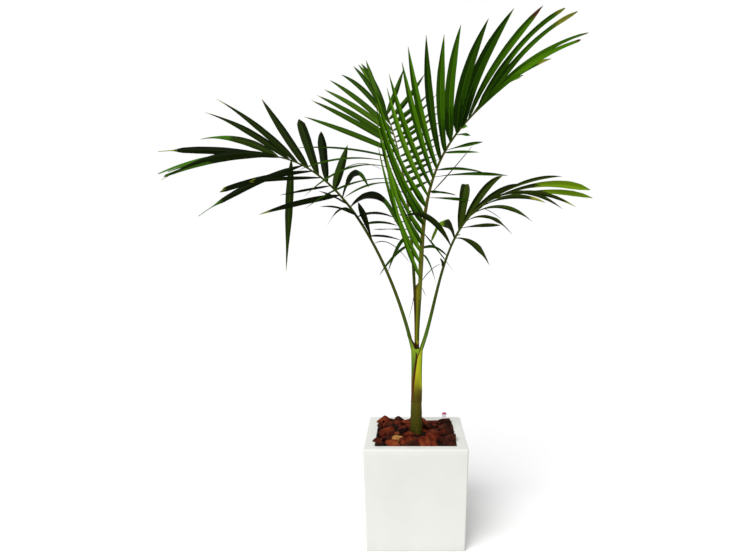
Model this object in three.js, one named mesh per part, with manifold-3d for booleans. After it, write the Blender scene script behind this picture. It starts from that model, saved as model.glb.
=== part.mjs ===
// Potted kentia palm: a young feather palm with four fronds in a square white planter.
// Millimetres, +Z up. The origin is the centre of the planter's flat underside.

import * as THREE from "three";
import { mergeVertices } from "three/addons/utils/BufferGeometryUtils.js";
import Module from "manifold-3d";

const wasm = await Module();
wasm.setup();

// Planter: square, drawn in slightly towards its foot, with a rim that turns inwards
const POT_TOP_WIDTH = 330;
const POT_FOOT_WIDTH = 313;
const POT_HEIGHT = 332;
const RIM_WIDTH = 34;
const LIP_DEPTH = 30;
const POT_WALL = 6;
const POT_FLOOR = 8;
const POT_CORNER_RADIUS = 5;
const EDGE_ROUNDING = 2;

// Filling: soil up to the lip, a low mound of bark chips on it that is highest at the back
// left, and the clearance between neighbours
const SOIL_TOP = 312;
const MULCH_EDGE_TOP = 321;
const MULCH_CROWN_TOP = 326;
const MULCH_BACK_RISE = 8;
const MULCH_LEFT_RISE = 2;
const MULCH_OVERHANG = 14;
const CHIP_SPACING = 42;
const CHIP_LENGTH = 56;
const CHIP_WIDTH = 38;
const CHIP_THICKNESS = 25;
const CHIP_SIZE_SPREAD = 0.3;
const CHIP_TILT = 0.45;
const CHIP_SCATTER = 0.24;
const CHIP_HEIGHT_SPREAD = 4;
const BED_CROWN_SHARE = 0.72;
const CLEARANCE = 0.3;

// Plant label: a blank strip pushed into the bark behind the stem
const LABEL = {
  x: 104, y: 98, width: 16, thickness: 1.2, foot: 316, top: 369, pointLength: 8, pointWidth: 3,
};

// Stem: radius by height, from the flat cut on the soil to the fork
const STEM_FOOT = { x: 2, y: 0, z: SOIL_TOP + CLEARANCE };
const STEM_FORK = { x: 4, y: 0, z: 620 };
const STEM_RADIUS = [
  [312, 23.5], [326, 21.5], [350, 20.3], [400, 19.2], [450, 17.8], [530, 16.2], [570, 16.6],
  [620, 18],
];
const STEM_SIDES = 16;

// Sheaths: the two outer leaf bases, wrapped round the stem and open towards the top.
// reach is how far round the stem each margin comes, in degrees from the azimuth.
const SHEATH_WALL = 1.8;
const SHEATHS = [
  { name: "sheath_right", azimuth: -12, reach: [[440, 150], [470, 130], [535, 104], [590, 80], [619.5, 42]] },
  { name: "sheath_left", azimuth: 172, reach: [[470, 34], [535, 58], [590, 72], [619.5, 60]] },
];

// Centre stalk: the joined bases of the two tall fronds
const STALK = {
  foot: { x: 4, y: 3, z: 620 + CLEARANCE, long: 6.6, short: 6.6 },
  top: { x: 3, y: -2, z: 800, long: 12.5, short: 7.6 },
  azimuth: -44,
};

// Fronds. start, rise, bow and tip are the four control points of the midrib's Bezier curve,
// each as [distance out from the plant's axis, height]. The midrib lies in the vertical plane
// at azimuth (degrees, anticlockwise from +X). Fractions run along the midrib, 0 to 1.
// seat is the height at which the petiole begins; the blade begins at blade and is split at bends.
// Leaflets: angle is measured from the midrib, lift out of the frond's own surface, turn about
// the leaflet's own axis, all in degrees; arch is how far it bows up and sweep how far
// it bows away from the midrib, as shares of the length.
// Every list of pairs is [fraction of the leaflet row, value].
const FRONDS = [
  {
    name: "left", azimuth: 172, seat: 620 + CLEARANCE, blade: 0.445, bends: [0.715], seed: 100,
    start: [9.5, 618], rise: [50, 800], bow: [210, 1250], tip: [510, 1272],
    petioleRadius: 6.4, tipRadius: 2.2,
    rows: [
      {
        hand: 1, count: 12, first: 0.47,
        length: [
          [0, 170], [0.18, 190], [0.27, 150], [0.36, 300], [0.45, 220], [0.64, 340], [0.8, 410],
          [1, 390],
        ],
        width: [[0, 17], [0.09, 8], [0.27, 7], [0.36, 14], [0.45, 8], [0.6, 16], [0.75, 22], [1, 28]],
        angle: [
          [0, 59], [0.09, 78], [0.27, 66], [0.45, 78], [0.55, 68], [0.64, 68], [0.73, 57], [0.91, 25],
          [1, 16],
        ],
        lift: [
          [0, 20], [0.09, -20], [0.27, -8], [0.36, -50], [0.5, -24], [0.64, -38], [0.73, -68],
          [1, -70],
        ],
        arch: [
          [0, 0.05], [0.09, 0.5], [0.18, 0.14], [0.3, 0.05], [0.5, 0], [0.7, 0.1], [0.91, 0.2],
          [1, 0.14],
        ],
        turn: [[0, -35], [0.5, -50], [1, -80]],
        odd: {
          0: { width: 21, turn: 85 },
          4: { width: 19 },
          9: { angle: 110, lift: -78, length: 380, arch: 0, width: 25, turn: 40 },
        },
      },
      {
        hand: -1, count: 13, first: 0.47,
        length: [
          [0, 250], [0.17, 270], [0.25, 300], [0.33, 240], [0.42, 270], [0.58, 290], [0.67, 340],
          [0.75, 380], [0.83, 370], [0.92, 340], [1, 420],
        ],
        width: [[0, 8], [0.17, 10], [0.25, 18], [0.33, 23], [0.42, 22], [0.5, 29], [0.67, 28], [1, 26]],
        angle: [
          [0, 100], [0.17, 100], [0.25, 110], [0.33, 85], [0.42, 62], [0.58, 40], [0.67, 25],
          [0.75, 13], [0.92, 14], [1, 4],
        ],
        lift: [
          [0, 14], [0.17, 18], [0.25, 18], [0.33, 16], [0.42, 31], [0.58, 34], [0.67, 55], [0.75, 76],
          [0.83, 58], [0.92, 8], [1, -20],
        ],
        arch: [
          [0, 0.06], [0.17, 0.15], [0.25, 0.6], [0.33, 0.5], [0.42, 0], [0.7, 0], [0.75, 0.15],
          [0.92, 0.18], [1, 0.05],
        ],
        turn: [[0, 38], [0.25, 55], [0.34, 15], [0.42, -30], [0.7, -65], [1, -85]],
        odd: {
          3: { width: 28, angle: 108, lift: 14, length: 340, arch: 0.4 },
          4: { width: 25, angle: 86.1, lift: 16.6, length: 240, arch: 0.58 },
          5: { width: 30, angle: 58.8, lift: 49.8, length: 200, arch: 0 },
          6: { width: 32, angle: 41, lift: 59.4, length: 200, arch: 0 },
          7: { width: 35 },
        },
      },
    ],
  },
  {
    name: "right", azimuth: -12, seat: 620 + CLEARANCE, blade: 0.61, bends: [], seed: 200,
    start: [18.5, 618], rise: [80, 784], bow: [80, 1020], tip: [244, 1113],
    petioleRadius: 6.8, tipRadius: 2.2,
    rows: [
      {
        hand: 1, count: 8, first: 0.64,
        length: [
          [0, 260], [0.14, 250], [0.29, 220], [0.43, 300], [0.57, 300], [0.71, 370], [0.86, 420],
          [1, 420],
        ],
        width: [[0, 24], [0.29, 33], [0.43, 30], [0.57, 24], [0.71, 20], [0.86, 30], [1, 28]],
        angle: [[0, 84], [0.14, 104], [0.29, 46], [1, 40]],
        lift: [
          [0, 44], [0.14, 23], [0.29, 32], [0.43, 2], [0.57, -30], [0.71, -18], [0.86, -30], [1, -28],
        ],
        arch: [
          [0, 0.14], [0.14, 0.58], [0.29, 0.08], [0.43, 0.3], [0.57, 0.3], [0.71, 0.13], [0.86, 0.23],
          [1, 0.17],
        ],
        turn: [[0, 0], [0.14, -15], [0.28, -75], [1, -75]],
        odd: {
          0: { angle: 81.9, lift: 141.3, length: 240, arch: 0.4, width: 26, turn: -10 },
          1: { width: 31 },
          2: { width: 36 },
          3: { width: 37, angle: 33.9, lift: 0.7, length: 250, arch: 0.23 },
          4: { width: 28, angle: 44.3, lift: -11.1, length: 270, arch: 0.16 },
          5: { width: 14, angle: 30.6, lift: -35.7, length: 330, arch: 0.18 },
          6: { width: 30, angle: 33.2, lift: -51.2, length: 370, arch: 0.2 },
          7: { width: 17, angle: 36.8, lift: -44.1, length: 370, arch: 0.17 },
        },
      },
      {
        hand: -1, count: 8, first: 0.67,
        length: [[0, 220], [0.14, 250], [0.43, 280], [0.57, 300], [0.71, 330], [1, 380]],
        width: [[0, 18], [0.5, 17], [1, 26]],
        angle: [[0, 92], [0.14, 68], [0.29, 73], [0.57, 54], [1, 50]],
        lift: [[0, -43], [0.14, -33], [0.29, -40], [0.7, -41], [1, -33]],
        arch: [[0, 0.27], [0.14, 0.08], [0.29, 0.3], [0.57, 0.22], [0.71, 0.26], [1, 0.12]],
        turn: [[0, -5], [0.14, 45], [0.29, 40], [0.57, 60], [1, 75]],
        odd: {
          1: { width: 6, angle: 58.7, lift: -52.2, length: 170, arch: 0.18 },
          2: { width: 11, angle: 64.2, lift: -43.4, length: 180, arch: 0.14 },
          3: { width: 13, angle: 74.1, lift: -44.9, length: 220, arch: 0.3 },
          4: { width: 13, angle: 63.3, lift: -46.4, length: 250, arch: 0.28 },
          5: { width: 10, angle: 50.1, lift: -42.5, length: 260, arch: 0.22 },
          6: { width: 10, angle: 51.4, lift: -45.5, length: 290, arch: 0.31 },
          7: { width: 12, angle: 51, lift: -39.1, length: 320, arch: 0.21 },
        },
      },
    ],
  },
  {
    name: "front", azimuth: -40, seat: 800 + CLEARANCE, blade: 0.25, bends: [0.655], seed: 300,
    start: [10, 640], rise: [36, 1028], bow: [-10, 1237], tip: [291, 1405],
    petioleRadius: 6.6, tipRadius: 2.6,
    rows: [
      {
        hand: -1, count: 21, first: 0.27,
        length: [[0, 440], [0.3, 450], [0.5, 435], [0.7, 410], [0.9, 410], [1, 380]],
        width: [[0, 14], [0.15, 16.5], [0.35, 17.5], [0.5, 21], [0.65, 24.5], [1, 26]],
        angle: [
          [0, 35], [0.25, 43], [0.45, 50], [0.6, 43], [0.72, 40], [0.85, 23], [0.95, 24], [1, 27],
        ],
        lift: [
          [0, -9], [0.25, -5], [0.45, -5], [0.6, 0], [0.72, -4], [0.85, -11], [0.95, -22], [1, -39],
        ],
        arch: [[0, 0.03], [0.6, 0.03], [1, 0.06]],
        sweep: [
          [0, 0.15], [0.15, 0.17], [0.35, 0.12], [0.5, 0.05], [0.6, 0.07], [0.7, 0.09], [0.8, 0.14],
          [0.86, 0.16], [0.89, 0], [1, 0],
        ],
        turn: [[0, -12], [0.15, -20], [0.35, -26], [0.5, -32], [0.75, -45], [1, -60]],
        odd: {
          18: { width: 12.5, angle: 20.3, lift: -18.4, length: 400, arch: 0.3 },
          19: { width: 11, angle: 23.7, lift: -24.4, length: 400, arch: 0.24 },
          20: { width: 25, angle: 24.7, lift: -40.8, length: 380, arch: 0.15 },
        },
      },
      {
        hand: 1, count: 14, first: 0.32,
        length: [[0, 160], [0.08, 220], [0.15, 200], [0.23, 140], [0.31, 270], [0.46, 320], [1, 360]],
        width: [[0, 8], [0.6, 10], [0.8, 22], [1, 26]],
        angle: [
          [0, 125], [0.15, 112], [0.23, 78], [0.46, 80], [0.61, 83], [0.69, 96], [0.77, 101],
          [0.85, 69], [1, 48],
        ],
        lift: [
          [0, 14], [0.08, 2], [0.15, 9], [0.23, -10], [0.31, -3], [0.38, -18], [0.46, -5], [0.54, 14],
          [0.69, 26], [0.85, 25], [1, 18],
        ],
        arch: [[0, 0.44], [0.08, 0.22], [0.15, 0], [0.31, 0.1], [0.6, 0.05], [1, 0.03]],
        turn: [[0, 32], [0.16, 25], [0.24, -15], [0.5, -20], [0.65, -50], [1, -68]],
        odd: {
          1: { width: 11, angle: 105.4, lift: -9, length: 130, arch: 0.26 },
          2: { width: 6, angle: 134.8, lift: -27.8, length: 175, arch: 0.02 },
          3: { width: 5, length: 30 },
          4: { width: 10, angle: 81, lift: -17.4, length: 170, arch: 0.2 },
          5: { width: 8, angle: 90.9, lift: 0.8, length: 160, arch: 0.12 },
          6: { width: 10, angle: 78.9, lift: -20.2, length: 250, arch: 0.12 },
          7: { width: 8, angle: 83.8, lift: -20.5, length: 270, arch: 0.14 },
          8: { width: 9, angle: 78.7, lift: -6.7, length: 160, arch: 0.14 },
          9: { width: 10, angle: 79.1, lift: -4, length: 140, arch: 0.1 },
          10: { width: 7, length: 40 },
          12: { width: 18, angle: 76.2, lift: 26.5, length: 310, arch: 0.02 },
          13: { width: 21, angle: 70.7, lift: 23.7, length: 360, arch: 0.06 },
        },
      },
    ],
  },
  {
    name: "back", azimuth: 120, seat: 800 + CLEARANCE, blade: 0.365, bends: [0.695], seed: 400,
    start: [-1, 640], rise: [2, 1033], bow: [92, 1308], tip: [221, 1453],
    petioleRadius: 5, tipRadius: 2,
    rows: [
      {
        hand: 1, count: 22, first: 0.385,
        length: [
          [0, 200], [0.1, 200], [0.14, 75], [0.33, 75], [0.38, 260], [0.43, 360], [0.62, 345],
          [0.76, 310], [1, 280],
        ],
        width: [[0, 8], [0.36, 8], [0.38, 6.5], [0.57, 7], [0.62, 19], [1, 20]],
        angle: [
          [0, 122], [0.05, 125], [0.1, 94], [0.33, 90], [0.38, 105], [0.48, 101], [0.57, 80],
          [0.62, 60], [0.71, 50], [0.81, 33], [0.95, 4], [1, 3],
        ],
        lift: [
          [0, 18], [0.05, 28], [0.1, 23], [0.2, 0], [0.38, 9], [0.43, -9], [0.52, -8], [0.57, -17],
          [0.67, -9], [0.76, -16], [0.86, -16], [0.95, -2], [1, 0],
        ],
        arch: [
          [0, 0.3], [0.1, 0], [0.38, 0.2], [0.48, 0.27], [0.57, 0.08], [0.62, 0.04], [0.81, 0.06],
          [0.86, 0.17], [1, 0.14],
        ],
        turn: [
          [0, 12], [0.08, 12], [0.1, 64], [0.34, 62], [0.38, 0], [0.58, -32], [0.75, -48], [1, -45],
        ],
        odd: {
          1: { angle: 118.9, lift: -87.9, length: 200, arch: 0.32, width: 14 },
        },
      },
      {
        hand: -1, count: 20, first: 0.42,
        length: [[0, 100], [0.4, 220], [0.6, 300], [0.8, 310], [0.9, 260], [1, 220]],
        width: [[0, 20], [0.3, 21], [0.42, 16], [1, 20]],
        angle: [[0, 75], [0.5, 62], [0.63, 56], [0.84, 52], [0.89, 48], [0.95, 33], [1, 20]],
        lift: [[0, -20], [0.5, -14], [0.63, -3], [0.84, 12], [0.89, 28], [1, 36]],
        arch: [[0, 0.08], [0.5, 0], [0.7, -0.1], [1, -0.05]],
        turn: [[0, 5], [0.5, 12], [0.85, 12], [1, -20]],
      },
    ],
  },
];

// Leaflet outline: [fraction of its length, share of its full width]
const LEAFLET_OUTLINE = [[0, 0.3], [0.14, 0.8], [0.4, 1], [0.74, 0.66], [1, 0.05]];
const LEAFLET_THICKNESS_SHARE = 0.0115;
const ANGLE_SPREAD = 1.5;
const LIFT_SPREAD = 3;
const LENGTH_SPREAD = 0.03;
const STATION_SPREAD = 0.005;
const ARCH_SPREAD = 0.3;
const STRAIGHT = [[0, 0], [1, 0]];

const MATERIALS = {
  pot: new THREE.MeshStandardMaterial({ color: 0xeef0ec, roughness: 0.32, metalness: 0 }),
  soil: new THREE.MeshStandardMaterial({ color: 0x2a1d15, roughness: 0.95, metalness: 0 }),
  bark: new THREE.MeshStandardMaterial({ color: 0x6e2a1a, roughness: 0.85, metalness: 0 }),
  label: new THREE.MeshStandardMaterial({ color: 0xf2eef0, roughness: 0.45, metalness: 0 }),
  stem: new THREE.MeshStandardMaterial({ color: 0x5c6a1c, roughness: 0.5, metalness: 0 }),
  sheath: new THREE.MeshStandardMaterial({ color: 0x8fa52e, roughness: 0.45, metalness: 0 }),
  petiole: new THREE.MeshStandardMaterial({ color: 0x5f8f2c, roughness: 0.45, metalness: 0 }),
  leaf: new THREE.MeshStandardMaterial({ color: 0x2f6b1c, roughness: 0.4, metalness: 0 }),
};

// Value at u on a list of [position, value] pairs, straight between them.
function ramp(pairs, u) {
  if (u <= pairs[0][0]) return pairs[0][1];
  for (let i = 1; i < pairs.length; i++) {
    const [from, low] = pairs[i - 1];
    const [to, high] = pairs[i];
    if (u <= to) return low + ((high - low) * (u - from)) / (to - from);
  }
  return pairs[pairs.length - 1][1];
}

// The same number between -1 and 1 each time it is asked for with the same n.
function jitter(n) {
  const wave = Math.sin(n * 12.9898) * 43758.5453;
  return 2 * (wave - Math.floor(wave)) - 1;
}

function radians(degrees) {
  return (degrees * Math.PI) / 180;
}

// Closed body through rings that each have the same even number of points. The two ends are
// capped by strips between the points that face each other, so a crescent ring caps well too.
function loft(rings) {
  const sides = rings[0].length;
  const positions = rings.flat().flatMap((p) => [p.x, p.y, p.z]);
  const triangles = [];
  for (let r = 0; r + 1 < rings.length; r++) {
    for (let s = 0; s < sides; s++) {
      const next = (s + 1) % sides;
      const [a, b] = [r * sides + s, r * sides + next];
      const [c, d] = [a + sides, b + sides];
      triangles.push([a, b, d], [a, d, c]);
    }
  }
  const last = (rings.length - 1) * sides;
  for (let s = 0; s < sides / 2 - 1; s++) {
    const [a, b, c, d] = [s, s + 1, sides - 2 - s, sides - 1 - s];
    const foot = [[a, d, c], [a, c, b]];
    const head = [[a, c, d], [a, b, c]].map((t) => t.map((i) => i + last));
    triangles.push(...[...foot, ...head].filter((t) => new Set(t).size === 3));
  }
  const geometry = new THREE.BufferGeometry();
  geometry.setAttribute("position", new THREE.Float32BufferAttribute(positions, 3));
  if (signedVolume(positions, triangles) < 0) triangles.forEach((t) => t.reverse());
  geometry.setIndex(triangles.flat());
  return geometry;
}

function signedVolume(positions, triangles) {
  const corner = (i) => new THREE.Vector3().fromArray(positions, 3 * i);
  let sum = 0;
  for (const [a, b, c] of triangles) sum += corner(a).dot(corner(b).cross(corner(c)));
  return sum / 6;
}

function toSolid(geometry) {
  const bare = geometry.clone();
  bare.deleteAttribute("normal");
  bare.deleteAttribute("uv");
  const merged = mergeVertices(bare, 1e-4);
  return new wasm.Manifold(new wasm.Mesh({
    numProp: 3,
    vertProperties: new Float32Array(merged.attributes.position.array),
    triVerts: new Uint32Array(merged.index.array),
  }));
}

function toGeometry(solid) {
  const mesh = solid.getMesh();
  const geometry = new THREE.BufferGeometry();
  geometry.setAttribute("position", new THREE.Float32BufferAttribute(mesh.vertProperties, 3));
  geometry.setIndex(new THREE.Uint32BufferAttribute(mesh.triVerts, 1));
  return geometry;
}

function joined(solids) {
  return solids.reduce((whole, solid) => whole.add(solid));
}

const palm = new THREE.Group();
palm.name = "potted_kentia_palm";

function addPiece(name, geometry, material) {
  geometry.computeVertexNormals();
  const mesh = new THREE.Mesh(geometry, material);
  mesh.name = name;
  palm.add(mesh);
}

// Horizontal square with rounded corners
function squareRing(halfWidth, cornerRadius, z) {
  const points = [];
  const arcSteps = 3;
  for (let corner = 0; corner < 4; corner++) {
    for (let step = 0; step <= arcSteps; step++) {
      const angle = (corner + step / arcSteps) * (Math.PI / 2);
      const quarter = radians(45 + 90 * corner);
      const centre = (halfWidth - cornerRadius) * Math.SQRT2;
      points.push(new THREE.Vector3(
        centre * Math.cos(quarter) + cornerRadius * Math.cos(angle),
        centre * Math.sin(quarter) + cornerRadius * Math.sin(angle),
        z,
      ));
    }
  }
  return points;
}

// Half of the planter's outer width at height z
function potHalfWidth(z) {
  return THREE.MathUtils.lerp(POT_FOOT_WIDTH, POT_TOP_WIDTH, z / POT_HEIGHT) / 2;
}

const OPENING_HALF_WIDTH = POT_TOP_WIDTH / 2 - RIM_WIDTH;
const LIP_UNDERSIDE = POT_HEIGHT - LIP_DEPTH;

function potShell() {
  const outer = (z, inset) => squareRing(potHalfWidth(z) - inset, POT_CORNER_RADIUS - inset, z);
  const inner = (z) => squareRing(potHalfWidth(z) - POT_WALL, POT_CORNER_RADIUS, z);
  return loft([
    outer(0, EDGE_ROUNDING),
    outer(EDGE_ROUNDING, 0),
    outer(POT_HEIGHT - EDGE_ROUNDING, 0),
    outer(POT_HEIGHT, EDGE_ROUNDING),
    squareRing(OPENING_HALF_WIDTH + EDGE_ROUNDING, POT_CORNER_RADIUS, POT_HEIGHT),
    squareRing(OPENING_HALF_WIDTH, POT_CORNER_RADIUS, POT_HEIGHT - EDGE_ROUNDING),
    squareRing(OPENING_HALF_WIDTH, POT_CORNER_RADIUS, LIP_UNDERSIDE),
    inner(LIP_UNDERSIDE - POT_WALL),
    inner(POT_FLOOR),
  ]);
}

function pottingSoil() {
  const wide = (z) => squareRing(potHalfWidth(z) - POT_WALL - CLEARANCE, POT_CORNER_RADIUS, z);
  const narrow = (z) => squareRing(OPENING_HALF_WIDTH - CLEARANCE, POT_CORNER_RADIUS, z);
  const shoulder = LIP_UNDERSIDE - POT_WALL - 2 * CLEARANCE;
  return loft([
    wide(POT_FLOOR + CLEARANCE),
    wide(shoulder),
    narrow(LIP_UNDERSIDE - CLEARANCE),
    narrow(SOIL_TOP),
  ]);
}

// One bark chip: a broken slab with four rough sides, its centre at the given point
function barkChip(centre, n) {
  const sides = 4;
  const length = CHIP_LENGTH * (1 + CHIP_SIZE_SPREAD * jitter(n + 0.1));
  const width = CHIP_WIDTH * (1 + CHIP_SIZE_SPREAD * jitter(n + 0.2));
  const thickness = CHIP_THICKNESS * (1 + CHIP_SIZE_SPREAD * jitter(n + 0.3));
  const turn = new THREE.Euler(
    CHIP_TILT * jitter(n + 0.4), CHIP_TILT * jitter(n + 0.5), Math.PI * jitter(n + 0.6),
  );
  const ring = (height, share) =>
    Array.from({ length: sides }, (_, s) => {
      const angle = ((s + 0.35 * jitter(n + 11 + s)) * 2 * Math.PI) / sides;
      const reach = share * (1 + 0.15 * jitter(n + 18 + s)) / 2;
      return new THREE.Vector3(length * reach * Math.cos(angle), width * reach * Math.sin(angle), height)
        .applyEuler(turn)
        .add(centre);
    });
  const rings = [ring(-thickness / 2, 0.8), ring(thickness * 0.1, 1), ring(thickness / 2, 0.72)];
  return toSolid(loft(rings));
}

// Square prism between two heights
function prism(halfWidth, foot, head) {
  const corner = POT_CORNER_RADIUS;
  return toSolid(loft([squareRing(halfWidth, corner, foot), squareRing(halfWidth, corner, head)]));
}

// Mound of chips: a bed with whole chips standing out of it. Below the rim it keeps inside the
// lip, and above the rim it may lie over the lip's edge.
function barkMulch(gaps) {
  const inside = OPENING_HALF_WIDTH - CLEARANCE;
  const floor = SOIL_TOP + CLEARANCE;
  const highest = POT_HEIGHT + 3 * CHIP_THICKNESS;
  const bed = toSolid(loft([
    squareRing(inside, POT_CORNER_RADIUS, floor),
    squareRing(inside, POT_CORNER_RADIUS, MULCH_EDGE_TOP),
    squareRing(inside * BED_CROWN_SHARE, POT_CORNER_RADIUS, MULCH_CROWN_TOP),
  ]));
  const chips = [];
  const perSide = Math.floor((2 * inside) / CHIP_SPACING);
  for (let row = 0; row < perSide; row++) {
    for (let column = 0; column < perSide; column++) {
      const n = 700 + row * perSide + column;
      const place = (index, shift) =>
        (index + 0.5 - perSide / 2 + CHIP_SCATTER * jitter(n + shift)) * CHIP_SPACING;
      const [x, y] = [place(column, 0.7), place(row, 0.8)];
      const edge = Math.max(Math.abs(x), Math.abs(y)) / inside;
      const rise = (MULCH_BACK_RISE * Math.max(0, y) + MULCH_LEFT_RISE * Math.max(0, -x)) / inside;
      const bedTop = THREE.MathUtils.lerp(MULCH_CROWN_TOP, MULCH_EDGE_TOP, edge);
      const z = bedTop + rise + CHIP_HEIGHT_SPREAD * jitter(n + 0.9);
      chips.push(barkChip(new THREE.Vector3(x, y, z), n));
    }
  }
  const room = prism(inside, floor, highest)
    .add(prism(OPENING_HALF_WIDTH + MULCH_OVERHANG, POT_HEIGHT + CLEARANCE, highest));
  return gaps.reduce((mulch, gap) => mulch.subtract(gap), joined([bed, ...chips]).intersect(room));
}

// The label's strip, pointed at its foot, grown outwards by the given clearance
function labelStrip(clearance = 0) {
  const ring = (z, halfWidth) => {
    const halfThickness = LABEL.thickness / 2 + clearance;
    return [[-1, -1], [1, -1], [1, 1], [-1, 1]].map(([i, j]) =>
      new THREE.Vector3(LABEL.x + i * (halfWidth + clearance), LABEL.y + j * halfThickness, z));
  };
  const halfWidth = LABEL.width / 2;
  return loft([
    ring(LABEL.foot - clearance, LABEL.pointWidth / 2),
    ring(LABEL.foot + LABEL.pointLength, halfWidth),
    ring(LABEL.top + clearance, halfWidth),
  ]);
}

// Horizontal ellipse whose long axis points at azimuth
function ellipseRing(centre, long, short, azimuth, sides) {
  const turn = radians(azimuth);
  return Array.from({ length: sides }, (_, s) => {
    const angle = (s * 2 * Math.PI) / sides;
    const [u, v] = [long * Math.cos(angle), short * Math.sin(angle)];
    return new THREE.Vector3(
      centre.x + u * Math.cos(turn) - v * Math.sin(turn),
      centre.y + u * Math.sin(turn) + v * Math.cos(turn),
      centre.z,
    );
  });
}

function stemCentre(z) {
  const share = (z - STEM_FOOT.z) / (STEM_FORK.z - STEM_FOOT.z);
  return new THREE.Vector3().lerpVectors(STEM_FOOT, STEM_FORK, share).setZ(z);
}

// The stem's own solid, grown outwards by the given clearance
function stemSolid(clearance = 0) {
  const heights = STEM_RADIUS.map(([z]) => THREE.MathUtils.clamp(z, STEM_FOOT.z, STEM_FORK.z));
  heights[0] -= clearance;
  return loft(heights.map((z) => {
    const radius = ramp(STEM_RADIUS, z) + clearance;
    return ellipseRing(stemCentre(z), radius, radius, 0, STEM_SIDES);
  }));
}

// A leaf base: a thin shell round the stem between its two margins
function sheathSolid({ azimuth, reach }) {
  const steps = 10;
  const rings = 11;
  const [foot, head] = [reach[0][0], reach[reach.length - 1][0]];
  const heightAt = (i) => THREE.MathUtils.lerp(foot, head, i / (rings - 1));
  const arc = (z, radius, halfAngle) =>
    Array.from({ length: steps + 1 }, (_, s) => {
      const angle = radians(azimuth + halfAngle * ((2 * s) / steps - 1));
      return stemCentre(z).add(new THREE.Vector3(radius * Math.cos(angle), radius * Math.sin(angle), 0));
    });
  return loft(Array.from({ length: rings }, (_, i) => {
    const z = heightAt(i);
    const halfAngle = ramp(reach, z);
    // A flat facet and its diagonal run inside the circle that their corners lie on, so the
    // circle is widened until they clear the stem.
    const shift = Math.abs(ramp(reach, heightAt(i + 1)) - ramp(reach, heightAt(i - 1))) / 2;
    const inner = (ramp(STEM_RADIUS, z) + CLEARANCE) / Math.cos(radians(halfAngle / steps + shift / 2));
    const wall = i === 0 ? SHEATH_WALL / 2 : SHEATH_WALL;
    return [...arc(z, inner + wall, halfAngle), ...arc(z, inner, halfAngle).reverse()];
  }));
}

function centreStalk() {
  const steps = 4;
  return loft(Array.from({ length: steps + 1 }, (_, i) => {
    const share = i / steps;
    const mix = (key) => THREE.MathUtils.lerp(STALK.foot[key], STALK.top[key], share);
    const centre = new THREE.Vector3(mix("x"), mix("y"), mix("z"));
    return ellipseRing(centre, mix("long"), mix("short"), STALK.azimuth, 12);
  }));
}

// Midrib of a frond as a curve, with the directions that its leaflets are measured from
function midrib(frond) {
  const azimuth = radians(frond.azimuth);
  const place = ([out, up]) => new THREE.Vector3(out * Math.cos(azimuth), out * Math.sin(azimuth), up);
  const curve = new THREE.CubicBezierCurve3(...[frond.start, frond.rise, frond.bow, frond.tip].map(place));
  const side = new THREE.Vector3(-Math.sin(azimuth), Math.cos(azimuth), 0);
  return {
    length: curve.getLength(),
    frameAt(fraction) {
      const point = curve.getPointAt(THREE.MathUtils.clamp(fraction, 0, 1));
      const along = curve.getTangentAt(THREE.MathUtils.clamp(fraction, 0, 1));
      return { point, along, side, upper: new THREE.Vector3().crossVectors(along, side) };
    },
  };
}

// Tapering limb between two fractions of a midrib. With a seat height, its foot is cut level there.
function limbSolid(frond, from, to, seat) {
  const rib = midrib(frond);
  const stepsOverMidrib = 16;
  const steps = Math.max(3, Math.round((to - from) * stepsOverMidrib));
  const sides = 8;
  const rings = [];
  for (let i = 0; i <= steps; i++) {
    const fraction = THREE.MathUtils.lerp(from, to, i / steps);
    const { point, along, side, upper } = rib.frameAt(fraction);
    const radius = THREE.MathUtils.lerp(frond.petioleRadius, frond.tipRadius, fraction);
    const ring = Array.from({ length: sides }, (_, s) => {
      const angle = ((s + 0.5) * 2 * Math.PI) / sides;
      return point.clone()
        .addScaledVector(side, radius * Math.cos(angle))
        .addScaledVector(upper, radius * Math.sin(angle));
    });
    if (i === 0 && seat !== undefined) {
      for (const p of ring) p.addScaledVector(along, (seat - p.z) / along.z);
    }
    rings.push(ring);
  }
  return toSolid(loft(rings));
}

// Fraction of the midrib at which it passes the given height
function fractionAtHeight(frond, height) {
  const rib = midrib(frond);
  let [low, high] = [0, 0.5];
  for (let i = 0; i < 30; i++) {
    const middle = (low + high) / 2;
    if (rib.frameAt(middle).point.z < height) low = middle;
    else high = middle;
  }
  return low;
}

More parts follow.
